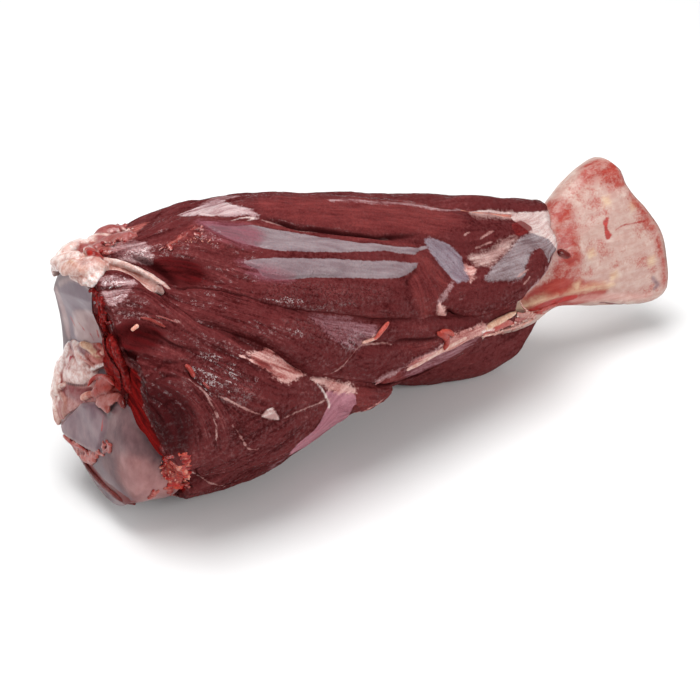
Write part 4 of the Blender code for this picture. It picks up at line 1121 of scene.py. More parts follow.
LOBE_EDGE = [(93, 284), (98, 299), (104, 312), (110, 326), (114, 340), (118, 350), (124, 360), (131, 367),
    (139, 376), (142, 386), (143, 398), (146, 411), (151, 424), (157, 437), (163, 449), (170, 460),
    (180, 474), (190, 488)]
LOBE_FOOT = [(90, 284), (94, 299), (100, 312), (105, 327), (107, 341), (106, 352), (107, 362), (111, 373),
    (118, 381), (125, 388), (127, 398), (130, 411), (136, 423), (143, 432), (149, 442), (156, 454),
    (164, 465), (176, 480), (186, 490)]
LOBE_START_BELOW = [(127, -173), (150, -166), (215, -166)]
LOBE_UNDER = [(-215, 215), (-24, 226)]
SILVERY_TOP = [(100, 280), (112, 275), (128, 276), (134, 286), (124, 298), (112, 306), (104, 296)]
LOBE_FEATURES = {
    "red edge": (patch, "blood", [(130, 368), (127, 383), (127, 398), (131, 411), (137, 423),
        (144, 432), (150, 442), (154, 452), (160, 457), (163, 450), (158, 440), (150, 425), (144, 410),
        (141, 395), (140, 380), (136, 370)], 0.6),
    # Painted shade: the hollow is sunk and painted dark.
    "painted shade in the hollow": (patch, "dark", [(112, 330), (128, 322), (150, 324), (162, 334), (152, 348),
        (130, 350), (115, 346)], -3.5, 8),
    # Painted shade on the lobe's lower belly.
    "painted shade on the belly": (patch, "dusk", [(143, 392), (158, 384), (178, 390), (190, 408), (192, 432),
        (184, 452), (170, 452), (154, 428)], -1.2, 14, 16),
    # Painted shade: a small cavity, sunk and painted near black.
    "painted shade in the cavity": (patch, "hole", [(122, 350), (131, 350), (138, 354), (137, 361), (131, 360),
        (125, 356)], -4, 3),
    "lobe glints": (patch, "glint", [(186, 352), (215, 352), (246, 368), (262, 392), (240, 408),
        (212, 400), (190, 378)]),
    "fat patch": (patch, "cream", [(240, 358), (246, 354), (252, 360), (263, 370), (278, 378),
        (288, 383), (302, 376), (307, 374), (292, 365), (275, 350), (268, 345), (258, 350)], 1.0, 1.5),
    "fat patch hole": (patch, "red", [(254, 360), (268, 362), (272, 370), (262, 368)], -0.6),
    "cream patch": (patch, "cream", [(312, 378), (330, 379), (352, 386), (354, 392), (335, 392),
        (320, 384)], 0.8),
    "cream patch line": (streak, "white", [(318, 384), (324, 392), (328, 402), (328, 410)], 1.1, 0.3),
    "purple skin": (patch, "purple", [(326, 392), (340, 391), (352, 392), (355, 402), (345, 418),
        (322, 435), (305, 445), (288, 455), (300, 442), (315, 430), (328, 405)], 0.5),
    "mauve rim": (streak, "mauve", [(288, 455), (275, 464), (268, 472)], 3.0),
    "red flap": (patch, "bright", [(354, 386), (385, 388), (400, 386), (396, 392), (380, 402),
        (362, 411), (353, 402)], 0.8),
    "flap edge": (streak, "cream", [(353, 413), (372, 405), (380, 400)], 1.5, 0.4),
    "lobe veins": (streak, "vein", [[(188, 378), (197, 386), (204, 392), (213, 408), (218, 418)],
        [(205, 392), (228, 400), (252, 412), (270, 417)], [(212, 413), (216, 425), (216, 440)], [(232, 425),
        (238, 432), (248, 448), (260, 448)], [(285, 418), (300, 411), (322, 402), (330, 398)], [(190, 472),
        (205, 480), (225, 486)], [(140, 318), (152, 318), (165, 326)], [(157, 317), (182, 323)],
        [(187, 368), (193, 375)], [(203, 383), (208, 388)]], 0.8, 0.2),
    "white tab": (patch, "white", [(262, 415), (272, 408), (280, 420), (264, 418)], 0.3),
    # The creases in this table are sunk and darkened with painted shade.
    "lobe creases": (crease, "hollow", [[(155, 372), (165, 363), (190, 361)], [(160, 380), (170, 375),
        (180, 377)], [(163, 410), (168, 402), (177, 400)], [(200, 480), (196, 470), (205, 466)],
        [(150, 330), (175, 345), (205, 352)], [(146, 400), (156, 410), (164, 424)]], 0.8, 0.8, 0.6),
    # Painted sheen: pale colour where the fibres on the lobe's top shine.
    "painted sheen on the lobe top": (patch, "fascia", SILVERY_TOP),
    "painted sheen on the lobe top glint": (patch, "glint", SILVERY_TOP),
}
LOBE_STROKES = [
    [(95, 300), (140, 290), (190, 330), (240, 355)], [(110, 285), (150, 285), (180, 310), (230, 340)],
    [(120, 320), (160, 325), (200, 345), (280, 380)], [(140, 345), (200, 365), (260, 395), (310, 400)],
    [(140, 380), (165, 395), (185, 420), (190, 450)], [(150, 372), (190, 385), (215, 415), (225, 450)],
    [(200, 480), (250, 465), (300, 440), (330, 400)], [(180, 478), (220, 455), (260, 430), (300, 405)],
    [(140, 410), (155, 435), (170, 458)],
]


def traced(sheet, pixels):
    """Angle, x and reach of the places where a sheet is seen at the pixels, in order of angle."""
    spots = (sheet.seen(curve_through(pixels, False)) - OFFSET) / MM
    up = spots[:, 2] - line(AXIS_HEIGHT, spots[:, 0])
    rows = np.stack([np.degrees(np.arctan2(-spots[:, 1], up)), spots[:, 0], np.hypot(spots[:, 1], up)])
    return rows[:, np.argsort(rows[0])]


x, angle = np.meshgrid(np.arange(-216, -140, 1.0), np.arange(0, 200, 1.0), indexing="ij")
cut_edge = traced(Sheet(place(x, angle, meat(x, angle))), LOBE_EDGE)
cut_foot = traced(bare, LOBE_FOOT)
hidden = np.array(LOBE_START_BELOW, float).T
hidden = hidden[:, hidden[0] > max(cut_edge[0, -1], cut_foot[0, -1]) + 4]
hidden = np.vstack([hidden, bone_reach(hidden[1], hidden[0])])
cut_edge, cut_foot = np.hstack([cut_edge, hidden]), np.hstack([cut_foot, hidden])


def lobe_foot(angle):
    return np.interp(angle, cut_foot[0], cut_foot[1]), np.interp(angle, cut_foot[0], cut_foot[2])


def lobe_start(angle):
    """The cut edge of the lobe stands proud at the front and draws back under the heel."""
    shreds = np.sin(angle * 0.9) * 0.3 + np.sin(angle * 0.37 + 2) * 0.6
    return np.interp(angle, cut_edge[0], cut_edge[1]) + shreds


x, angle, reach, full = muscle_grid(lobe_start, steady(-24.5), along(LOBE_UPPER), along(LOBE_UNDER),
                                    start_round=3.5, end_round=7, dips=((4, 0.05), (5, 0.07)),
                                    step=0.92, foot=lobe_foot)
lobe = Sheet(place(x, angle, reach))
cut_face = np.where((x < -140) & (angle > 30) & (full < 0.9999), (0.55 - full) * 16, -6)
lobe.mark("gore", slice(None), cut_face.reshape(-1))
drawn(lobe, LOBE_FEATURES)
fibrous(lobe, LOBE_STROKES, coarse=1.3, seed=43)
lobe_meat = flesh_object("lobe_meat", lobe, under_grid(x, angle), "wet meat of the lobe")
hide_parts("elbow_lobe")
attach(lobe_meat, "root")


# --- The hanging muscle ----------------------------------------
# The long round belly under the bone, on which the wrist half of the shin lies. Its front edge is
# free and the bone is bare beside it.

HANGING_FREE = [(-15, 124), (20, 126), (45, 140), (75, 152), (130, 160)]
UNDER_SEAM = [(-215, 215), (-90, 215), (-24, 226), (40, 232), (130, 238)]
HANGING_STROKES = [[(300, 445), (360, 412), (420, 380), (480, 360), (540, 325)]]
HANGING_END = ((158, 165, 172, 180, 190, 238), (121, 112, 101, 91, 80, 76))
HANGING_SINK = 5.0       # how far it sinks where the lobe covers it

x, angle, reach, _ = muscle_grid(steady(-60), lambda a: np.interp(a, *HANGING_END),
                                 lambda x: np.maximum(line(LOBE_UPPER, x) + 2, line(HANGING_FREE, x)),
                                 along(UNDER_SEAM), end_round=18, dips=((4, 0.05), (5, 0.07)),
                                 free_near=lambda x: step_up((x + 15) / 20))
reach = reach - HANGING_SINK * step_up((-14 - x) / 12)
hanging = Sheet(place(x, angle, reach))
fibrous(hanging, HANGING_STROKES, seed=63)
hanging_meat = flesh_object("hanging_meat", hanging, under_grid(x, angle), "wet meat below",
                            ("#411516", "#612a2b", "#7a3e3e"))
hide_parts("hanging_muscle")
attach(hanging_meat, "root")


# --- The flexor muscles ----------------------------------------
# The long muscles along the back of the leg, which bend the foot. Their inner side can't be seen
# in the picture and is finished like the rest.

x, angle, reach, _ = muscle_grid(steady(FLEXOR_START), steady(122), along(UNDER_SEAM),
                                 lambda x: line(BACK_SEAM, x) + 360, start_round=12, end_round=10, step=1.2)
back = Sheet(place(x, angle, reach))
fibrous(back, [], seed=83)
back_meat = flesh_object("flexor_meat", back, under_grid(x, angle, (6, 8)), "wet meat of the back")
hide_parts("flexor_muscles")
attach(back_meat, "root")


# --- The elbow fat and its tendon ------------------------------
# Lumpy pale fat over the knob at the top of the elbow end, and the glossy tendon that comes out of
# it and runs down between the upper head and the lobe. All of it is melted into one skin.

STRAND_SIDES = 16
PLATE_STEP = 2.0         # in pixels
PLATE_COLUMNS = 24
PLATE_ROOT = 2.0         # how far a pad reaches into what it lies on
FAT_ANGLES = (-44, 6)
FAT_FROM = [(-44, -200), (-20, -207), (6, -205)]
FAT_END = -188.5
FAT_PROUD = 1.0
FAT_DEPTH = 68.0
FAT_ROUND = 6            # over how much it rounds off at its elbow end, and closes at the other
FAT_CLOSE = 2
FAT_FLOOR = 7.5
CORD = [(259, 96, 114), (262, 95, 128), (266, 94, 140), (270, 94, 149), (275, 98, 157), (279, 116, 163),
    (283, 130, 167), (287, 140, 170), (291, 150, 173), (294, 158, 175)]
FAT_BITS = [
    ("#e2dad8", 9, 7, 1, [(50, 268), (52, 259), (60, 254)]),
    ("#dfd4d0", 9, 6, 1, [(60, 252), (70, 248), (82, 244)]),
    ("#d8c8c2", 10, 6, 1, [(56, 262), (66, 259), (78, 258)]),
    ("#c9aca2", 9, 5, 1, [(64, 270), (72, 268), (82, 270)]),
    ("#d6cac6", 6, 5, 0, [(53, 268), (60, 266), (70, 264), (80, 265), (90, 270)]),
    ("#b58468", 4, 3, 2, [(73, 264), (78, 267), (82, 271)]),
    ("#c4a9a1", 10, 5, 0.5, [(84, 270), (92, 268), (100, 266)]),
    ("#b99187", 8, 4, 1, [(86, 262), (92, 264), (98, 263)]),
    ("#b79d98", 12, 5, 0.4, [(92, 265), (106, 265), (120, 267), (134, 272), (147, 278), (159, 286)], 0.55),
    # The paler strand along the cord's top is a painted highlight, and the darker one below it is painted
    # shade on its lower fold.
    ("#c9b5af", 5, 3, 2.4, [(92, 261), (106, 261), (120, 262), (134, 267), (147, 273), (160, 282)], 0.6),
    ("#a58680", 4, 2.4, 1.9, [(96, 270), (110, 270), (124, 272), (138, 278), (148, 283), (158, 288)], 0.5),
    ("#b0938e", 9, 4.4, 1.9, [(126, 270), (138, 276), (149, 282), (159, 288), (168, 294), (178, 301)], 0.35),
    ("#d9cdc8", 6, 5, 0, [(55, 262), (54, 269), (55, 276)]),
    ("#8f4746", 12, 9, 1.2, [(78, 248), (90, 240), (104, 235), (120, 232)]),
    ("#945553", 11, 8, 0.5, [(96, 250), (108, 244), (120, 240), (132, 238)]),
    ("#d8c6bf", 5, 4, 2.5, [(90, 244), (98, 240), (110, 241)]),
    ("#d9cdc8", 10, 8, 1.5, [(64, 256), (74, 250), (86, 246)]),
    ("#a08480", 4.0, 2.6, 0.9, [(163, 287), (173, 295), (182, 304), (190, 311)], 0.4),
    ("#9a7672", 2.4, 2.0, 0.6, [(190, 312), (200, 318), (210, 322)]),
]
RED_BALL = [(86, 252), (89, 246), (94, 243), (99, 248), (102, 257), (97, 263), (90, 260)]
HEAD_LUMPS = [(84, 246), (94, 236), (108, 231), (126, 227), (136, 232), (124, 244), (104, 250)]
HEAD_CODES = ("#8a3030", "#9c5450", "#c79b96", "#7c2424", "#dcc4be")
RED_BALL_CODES = ("#7c120e", "#941c14", "#640d0b", "#a5322a")


def strand(centre, out, width, height):
    """Points and faces of a closed strand along its centre, with widths and heights in millimetres."""
    forward = np.gradient(centre, axis=0)
    forward /= np.linalg.norm(forward, axis=1)[:, None] + 1e-9
    across = np.cross(out, forward)
    across /= np.linalg.norm(across, axis=1)[:, None] + 1e-9
    up = np.cross(forward, across)
    t = np.linspace(0, 2 * np.pi, STRAND_SIDES, endpoint=False)[None, :, None]
    rings = (centre[:, None] + np.cos(t) * across[:, None] * (width[:, None, None] / 2 * MM)
             - np.sin(t) * up[:, None] * (height[:, None, None] / 2 * MM))
    points = np.vstack([rings.reshape(-1, 3), centre[:1], centre[-1:]])
    index = np.arange(len(centre) * STRAND_SIDES).reshape(-1, STRAND_SIDES)
    faces = grid_faces(np.concatenate([index, index[:, :1]], axis=1)).tolist()
    return points, faces + end_fans(len(centre), STRAND_SIDES)


def touched(pixels, sheets):
    """Where the eye first meets any of the sheets at the pixels, and which way that place faces."""
    spots = [sheet.seen(pixels, True) for sheet in sheets]
    far = np.stack([np.linalg.norm(s[0] - EYE, axis=1) + 5.0 * s[2] for s in spots])
    nearest = far.argmin(axis=0)
    row = np.arange(len(nearest))
    return np.stack([s[0] for s in spots])[nearest, row], np.stack([s[1] for s in spots])[nearest, row]


def laid_bits(bits, sheets):
    """A strand for each bit of flesh, laid where it is seen: its form, centre, size and colour."""
    laid = []
    for code, width, height, lift, pixels, *rest in bits:
        taper = rest[0] if rest else 1.0
        spots, facing = touched(curve_through(pixels, False, 2.0), sheets)
        for _ in range(3 + len(spots) // 2):
            facing[1:-1] = (facing[:-2] + facing[2:] + 2 * facing[1:-1]) / 4
            spots[1:-1] = (spots[:-2] + spots[2:] + 2 * spots[1:-1]) / 4
        facing = facing + facing.mean(axis=0)
        forward = spots[-1] - spots[0]
        forward /= np.linalg.norm(forward) + 1e-9
        ends = [spots[:1] - forward * width / 3 * MM, spots, spots[-1:] + forward * width / 3 * MM]
        spots = np.vstack(ends)
        facing = np.vstack([facing[:1], facing, facing[-1:]])
        facing /= np.linalg.norm(facing, axis=1)[:, None]
        spots += facing * lift * MM
        full = np.sqrt(np.clip(np.sin(np.linspace(0.12, np.pi - 0.12, len(spots))) * 1.6, 0, 1))
        full = full * np.linspace(1, taper, len(spots))
        form = strand(spots, facing, width * full, height * full)
        laid.append((form, spots, (width + height) / 4, paint(code)))
    return laid


def plate(rows, sheets, thick, bridge=4):
    """A pad of tissue over the rows of pixels (y, left, right), as points and faces."""
    rows = np.array(rows, float)
    y = np.arange(rows[0, 0], rows[-1, 0] + 0.1, PLATE_STEP)
    left, right = np.interp(y, rows[:, 0], rows[:, 1]), np.interp(y, rows[:, 0], rows[:, 2])
    share = np.linspace(0, 1, PLATE_COLUMNS)
    pixels = np.stack([left[:, None] + share * (right - left)[:, None], y[:, None] + 0 * share], -1)
    spots, facing = touched(pixels.reshape(-1, 2), sheets)
    spots, facing = spots.reshape(pixels.shape[:2] + (3,)), facing.reshape(pixels.shape[:2] + (3,))
    for _ in range(bridge):
        for field in (spots, facing):
            field[1:-1] = (field[:-2] + field[2:] + 2 * field[1:-1]) / 4
            field[:, 1:-1] = (field[:, :-2] + field[:, 2:] + 2 * field[:, 1:-1]) / 4
    facing /= np.linalg.norm(facing, axis=-1, keepdims=True)
    edge = np.minimum(share, 1 - share)[None] * 2
    end = np.minimum(np.arange(len(y)), np.arange(len(y))[::-1])[:, None] / len(y) * 2
    full = np.sqrt(1 - (1 - np.clip(np.minimum(edge, end) * 2.5, 0, 1)) ** 2)[..., None]
    sheet = Sheet(spots + facing * full * thick * MM)
    return closed_form(sheet, (spots - facing * PLATE_ROOT * MM)[::3, ::3])


def torn(outline, count, length, width, lift, codes, seed):
    """Rows of short torn strands, strewn inside an outline of pixels."""
    chance = np.random.default_rng(seed)
    outline = np.array(outline, float)
    low, high = outline.min(0), outline.max(0)
    rows = []
    while len(rows) < count:
        spot = low + chance.random(2) * (high - low)
        if within(outline, spot[None])[0]:
            turn = chance.random() * 6.3
            bend = turn + (chance.random() - 0.5) * 2
            one, two = np.array([np.cos(turn), np.sin(turn)]), np.array([np.cos(bend), np.sin(bend)])
            reach = length * (0.5 + chance.random())
            size = width * (0.6 + 0.8 * chance.random())
            rows.append((codes[chance.integers(len(codes))], size, size * 0.9, lift * chance.random(),
                         [spot - one * reach / 2, spot, spot + two * reach / 2]))
    return rows


def settled(body):
    """The plain mesh that the object's modifiers make, now its own."""
    made = bpy.data.meshes.new_from_object(body.evaluated_get(bpy.context.evaluated_depsgraph_get()))
    body.modifiers.clear()
    body.data = made
    return made


def melted(name, forms, laid, ground, voxel=0.75, lumpy=0.5, ease=6, seed=1, painted_crevice_shade=(0.5, 0.16, 0.14)):
    """One skin over all the forms, with lumpy relief and the bits' colours, and painted shade, darker and
    redder, in its hollows.
    """
    parts = forms + [row[0] for row in laid]
    starts = np.cumsum([0] + [len(points) for points, _ in parts])
    faces = [[v + int(start) for v in face] for (_, part), start in zip(parts, starts) for face in part]
    mesh = bpy.data.meshes.new(name)
    mesh.from_pydata(np.vstack([points for points, _ in parts]).tolist(), [], faces)
    body = placed(name, mesh)
    melt = body.modifiers.new("melt", "REMESH")
    melt.mode = "VOXEL"
    melt.voxel_size = voxel * MM
    smoother = body.modifiers.new("ease", "SMOOTH")
    smoother.factor = 0.5
    smoother.iterations = ease
    skin = settled(body)
    skin.name = name
    points, normals = np.empty(len(skin.vertices) * 3), np.empty(len(skin.vertices) * 3)
    skin.vertices.foreach_get("co", points)
    skin.vertices.foreach_get("normal", normals)
    points, normals = points.reshape(-1, 3), normals.reshape(-1, 3)
    tint, total_tint = np.array(paint(ground)) * 0.002, np.full((len(points), 1), 0.002)
    for _, spots, size, colour in laid:
        near = ((points[:, None] - spots[None]) ** 2).sum(-1).min(axis=1)[:, None]
        weight = np.exp(-near / (size * MM) ** 2 * 4)
        tint, total_tint = tint + weight * np.array(colour), total_tint + weight
    edges = np.empty(len(skin.edges) * 2, int)
    skin.edges.foreach_get("vertices", edges)
    one, two = edges[::2], edges[1::2]
    links = np.bincount(edges, minlength=len(points))[:, None]
    calm = points
    for _ in range(10):
        near = [np.bincount(one, calm[two, k], len(points)) + np.bincount(two, calm[one, k], len(points))
                for k in range(3)]
        calm = np.stack(near, -1) / links
    hollow = ((calm - points) * normals).sum(-1) / MM
    # Painted shade: where the skin lies in a hollow, its colour is darkened and reddened.
    red = step_up(hollow / 0.35)[:, None]
    colours = np.ones((len(points), 4))
    colours[:, :3] = tint / total_tint * (1 - red + red * np.array(painted_crevice_shade))
    lumps = rough(points, 6, seed, 2) + 0.2 * rough(points, 1.8, seed + 4)
    points += normals * MM * lumpy * lumps[:, None]
    points[:, 2] = np.maximum(points[:, 2], 0)
    skin.vertices.foreach_set("co", points.reshape(-1))
    skin.attributes.new("tint", "FLOAT_COLOR", "POINT").data.foreach_set("color", colours.reshape(-1))
    skin.shade_smooth()
    return body


def soft_tissue(name):
    """Wet fat, tendon and scraps, in the colours laid on them, with red streaks and pale spots."""
    shader = Shader(name, Coat_Roughness=0.12, Specular_IOR_Level=0.1, Subsurface_Weight=0.15,
                    Subsurface_Scale=0.003, Subsurface_Radius=(1.0, 0.45, 0.35))
    grain, speck, cloud = shader.noise(3.2, 3), shader.noise(1.1, 3), shader.noise(9, 2)
    tint = shader.node("Attribute", {"attribute_name": "tint"}, {}, "Color")
    deep, blushed = [shader.node("Mix", {"data_type": "RGBA", "blend_type": "MULTIPLY"},
                                 {0: 1.0, 6: tint, 7: code}, 2) for code in ("#dfbdb6", "#c0473f")]
    colour = shader.mix(shader.ramp(grain * 0.6 + speck * 0.4, 0.62, 0.40) * 0.85, tint, deep)
    colour = shader.mix(shader.ramp(cloud * 0.6 + grain * 0.4, 0.55, 0.70) * 0.3, colour, blushed)
    shader.give(Base_Color=colour, Roughness=0.30 + (grain - 0.5) * 0.2,
                Coat_Weight=0.12 + shader.ramp(cloud, 0.4, 0.65) * 0.4,
                Normal=shader.bump(0.5, 0.0005, grain * 0.7 + speck * 0.3))
    return shader.material


angle = np.linspace(*FAT_ANGLES, 60)
start = np.interp(angle, *np.transpose(FAT_FROM))
turns = np.linspace(0.02, np.pi / 2, 18)[:, None]
closing = np.linspace(0.1, np.pi / 2, 6)[:, None]
x = np.concatenate([
    start + FAT_ROUND * (1 - np.cos(turns)),
    start + FAT_ROUND + np.linspace(0, 1, 12)[1:, None] * (FAT_END - FAT_CLOSE - start - FAT_ROUND),
    FAT_END - FAT_CLOSE * (1 - np.sin(closing)) + 0 * start])
full = np.concatenate([np.sin(turns), np.ones((11, 1)), np.cos(closing)])
angle = np.broadcast_to(angle, x.shape)
around = np.radians(1) * line(MEAT_RADIUS, x)
depth = FAT_DEPTH + 3 * np.clip(angle / FAT_ANGLES[1], 0, 1)
for distance, width in (((angle - FAT_ANGLES[0]) * around, 7), ((FAT_ANGLES[1] - angle) * around, 5)):
    full = full * np.sqrt(1 - (1 - np.clip(distance / width, 0, 1)) ** 2)
cap = Sheet(place(x, angle, depth + (meat(x, angle) + FAT_PROUD - depth) * full))
soft = soft_tissue("wet fat and tendon")
rows = FAT_BITS + torn(RED_BALL, 26, 4, 3.4, 2.5, RED_BALL_CODES, 5)
rows += torn(HEAD_LUMPS, 70, 3.5, 1.8, 3.5, HEAD_CODES, 6)
laid = laid_bits(rows, [cap, upper, lobe, bare])
arch = (3 + 7 * np.sin(np.pi * (angle - FAT_ANGLES[0]) / 50)) * step_up((-190 - x) / 8)
cap_form = closed_form(cap, place(x[::5, ::8], angle[::5, ::8], (depth - FAT_FLOOR + arch)[::5, ::8]))
cord = plate(CORD, [upper, lobe, bare], 3.0, bridge=25)
tendon = melted("elbow_fat_and_tendon", [cap_form, cord], laid, "#c0a49d", voxel=0.65, lumpy=0.3, ease=9,
                seed=91, painted_crevice_shade=(0.75, 0.48, 0.42))
tendon.data.materials.append(soft)
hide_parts("elbow_tendon")
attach(tendon, "root")


# --- The scraps on the elbow end -------------------------------
# What is left of the joint: a glossy ligament stump, fat along the back edge, red and pink flaps
# and a dark skin below. They grow on the bone, and are melted into one skin like the fat above.

JOINT_PAD = [(342, 70, 100), (352, 66, 110), (366, 60, 112), (378, 50, 116), (388, 48, 124), (398, 50, 118),
    (404, 52, 88), (412, 54, 70), (420, 57, 64)]
JOINT_BITS = [
    ("#8e6d72", 8, 4, 0.5, [(74, 344), (80, 348), (88, 350)]),
    ("#d6c6c2", 11, 6, 1, [(80, 350), (84, 358), (88, 364)]),
    ("#d8c8c4", 10, 7, 1.5, [(72, 374), (80, 376), (90, 376)]),
    ("#d0bcb8", 11, 6, 1, [(72, 362), (80, 366), (90, 370)]),
    ("#e3dad8", 6, 5, 1, [(71, 344), (68, 356), (64, 368), (62, 379)]),
    ("#a2525a", 2.4, 2, 3.5, [(76, 356), (76, 362), (72, 369)]),
    ("#c9a78c", 5, 4, 1.5, [(84, 343), (92, 347), (99, 353)]),
    ("#b5726a", 7, 5, 1, [(93, 354), (98, 360), (104, 361)]),
    ("#dcd3d1", 3, 2.6, 3, [(95, 369), (101, 366), (108, 364)]),
    ("#c98a80", 2.0, 2.4, 3, [(86, 357), (87, 366), (90, 374), (95, 379)]),
    ("#c08a82", 1.6, 1.6, 3.5, [(86, 357), (92, 361), (99, 366)]),
    ("#a85c54", 4, 4, 1.5, [(93, 375), (102, 373), (112, 370)]),
    ("#7c2420", 5, 4, 1, [(96, 381), (104, 376), (113, 375)]),
    ("#e6dedb", 9, 7, 1, [(62, 360), (55, 367), (51, 376)]),
    ("#e8e1de", 10, 7, 1, [(53, 374), (51, 386), (53, 398)]),
    ("#d8c8c2", 7, 5, 2.5, [(60, 372), (63, 381), (61, 392)]),
    ("#cdb3ab", 6, 5, 1.5, [(55, 402), (56, 412), (59, 422)]),
    ("#a77a70", 5, 4, 1.5, [(64, 394), (70, 402), (66, 412)]),
    ("#c9b3ab", 4, 3.4, 3, [(68, 386), (61, 389), (57, 395)]),
    ("#84484a", 9, 4, 1, [(70, 390), (78, 394), (86, 398)]),
    ("#4c1416", 3.4, 2.4, 1.0, [(70, 384), (82, 385), (94, 384), (99, 380)]),
    ("#6f2b2d", 4, 3, 1.5, [(78, 391), (86, 393), (92, 391)]),
    ("#943a32", 9, 5, 3.4, [(100, 394), (106, 389), (115, 387)]),
    ("#a0443b", 7, 4.5, 4.2, [(103, 388), (110, 382), (118, 383)]),
    ("#9c2a22", 2.6, 2.6, 6.2, [(97, 388), (100, 381), (105, 377), (113, 377), (120, 382), (123, 387)]),
    ("#c99a8b", 4.5, 4, 4, [(96, 396), (91, 397), (88, 400)]),
    ("#a0605a", 8, 3.5, 2.5, [(102, 403), (110, 403), (118, 399)]),
    ("#96524c", 5, 3, 2.5, [(104, 404), (109, 408), (112, 411)]),
    ("#6e1412", 5, 4, 1, [(118, 396), (123, 400), (125, 406)]),
    ("#9c3a34", 3, 2.4, 0.8, [(66, 438), (74, 443), (84, 447)]),
    ("#a4574f", 5, 3.4, 1.0, [(84, 457), (90, 460), (96, 459)]),
    ("#5e1412", 4.6, 3.4, 0.0, [(84, 461), (93, 474), (102, 484), (112, 493), (122, 500), (134, 505)]),
    ("#9a6a66", 1.6, 1.4, 0.8, [(105, 415), (107, 424), (103, 432), (101, 437)]),
]
BLOOD_PAD = [(334, 104, 112), (342, 104, 116), (352, 106, 121), (362, 108, 126), (374, 112, 129),
    (386, 118, 132), (394, 122, 133)]
BLOOD_BITS = [
    ("#7c0806", 5, 4, 0.2, [(102, 318), (106, 330), (109, 341)]),
    ("#860a07", 5, 3, 2.0, [(111, 340), (114, 352), (117, 364), (121, 376)]),
    ("#5c0505", 5, 3, 1.5, [(121, 352), (125, 366), (128, 380)]),
    ("#860a07", 4, 3, 2.2, [(108, 358), (111, 368), (117, 380), (124, 390)]),
]
FOLDS = [(62, 435), (74, 439), (90, 447), (102, 452), (99, 462), (86, 462), (74, 453)]
FOLD_CODES = ("#8c2c27", "#a4564e", "#741a18", "#b8786e")
CLOT = [(102, 441), (110, 438), (113, 446), (110, 453), (104, 450)]
CLOT_CODES = ("#7f2523", "#9a4a44")
RED_MASS = [(98, 346), (106, 343), (113, 347), (114, 357), (106, 362), (98, 358)]
RED_CODES = ("#a4443c", "#c07a70", "#8a2823", "#d0a298")
CUT_SHREDS = [(91, 285), (97, 285), (101, 298), (106, 312), (110, 322), (104, 322), (98, 310), (93, 298)]
CUT_CODES = ("#6e1310", "#8a2a26", "#5a0c0c")

blood_shader = Shader("fresh blood", Roughness=0.3, Specular_IOR_Level=0.0, Coat_Roughness=0.1)
clot, drop = blood_shader.noise(2.5, 3), blood_shader.noise(1.0, 2)
dried = blood_shader.mix(blood_shader.ramp(clot, 0.35, 0.65), "#540f10", "#821d1b")
blood_shader.give(Base_Color=dried, Coat_Weight=blood_shader.ramp(drop, 0.54, 0.62) * 0.4)
laid = laid_bits(BLOOD_BITS + torn(CUT_SHREDS, 30, 4, 2.2, 0.4, CUT_CODES, 9), [bare, lobe])
clots = melted("joint_blood", [plate(BLOOD_PAD, [bare, lobe], 2.6)], laid, "#7c0806", voxel=0.55, lumpy=0.2,
               seed=141)
clots.data.materials.append(blood_shader.material)
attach(clots, "root")

rows = JOINT_BITS + torn(RED_MASS, 16, 5, 3.0, 2.5, RED_CODES, 8)
rows += torn(FOLDS, 46, 7, 2.2, 0.8, FOLD_CODES, 14) + torn(CLOT, 16, 3, 2.0, 0.8, CLOT_CODES, 15)
scraps = melted("joint_scraps", [plate(JOINT_PAD, [bare], 2.2)], laid_bits(rows, [bare]), "#a87a76",
                voxel=0.55, lumpy=0.14, ease=11, seed=131)
scraps.data.materials.append(soft)
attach(scraps, "root")


# --- The sinews at the wrist -----------------------------------
# Flat yellowish and red sinews that leave the side muscles and run along the lower edge of the bone
# to its blade, with a frayed white fringe below and a thin skin round the meat's end. They are
# melted into one skin that grows on the bone.

SINEW_BITS = [
    ("#cdac94", 5, 3.0, 0.4, [(487, 327), (496, 322), (506, 317), (514, 313)], 0.8),
    ("#5c0f0d", 5.0, 3.0, 0.0, [(560, 252), (564, 254), (568, 256)]),
    ("#a5443c", 6.5, 3.4, 0.2, [(484, 332), (504, 324), (522, 317), (540, 310), (556, 304)], 0.6),
    ("#c99f94", 3, 2, 0.5, [(482, 336), (500, 331), (516, 326), (532, 320), (548, 313), (562, 308)], 0.5),
    ("#c9a99f", 4.5, 2.2, 0.3, [(404, 371), (420, 362), (438, 352), (452, 344), (468, 335), (484, 328)]),
    ("#b5827a", 3, 2, 0.3, [(440, 352), (456, 345), (470, 337), (486, 330)]),
    ("#8e5a5c", 3, 1.6, 0, [(376, 384), (392, 374), (410, 365), (430, 354)], 0.5),
    ("#ddd0cc", 2.6, 2.2, 1.4, [(481, 331), (485, 327), (491, 329)]),
]
RIM_BITS = [
    ("#a8918f", 2.4, 1.8, 0.2, [(549, 218), (553, 232), (555, 246), (555, 258), (549, 272), (541, 284)]),
    ("#9a7f7d", 2.0, 1.6, 0.2, [(545, 278), (538, 287), (530, 296)]),
]
FRINGE = [(480, 334), (510, 327), (540, 315), (552, 309), (550, 315), (520, 329), (486, 340)]
FRINGE_CODES = ("#d3b5aa", "#b5756c", "#e0cbc3")
rows = SINEW_BITS + torn(FRINGE, 26, 6, 1.1, 0.3, FRINGE_CODES, 21)
laid = laid_bits(rows, [side, bare]) + laid_bits(RIM_BITS, [upper])
sinews = melted("wrist_sinews", [], laid, "#b07a70", voxel=0.5, lumpy=0.2, ease=4, seed=171,
                painted_crevice_shade=(0.72, 0.42, 0.38))
sinews.data.materials.append(soft)
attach(sinews, "root")


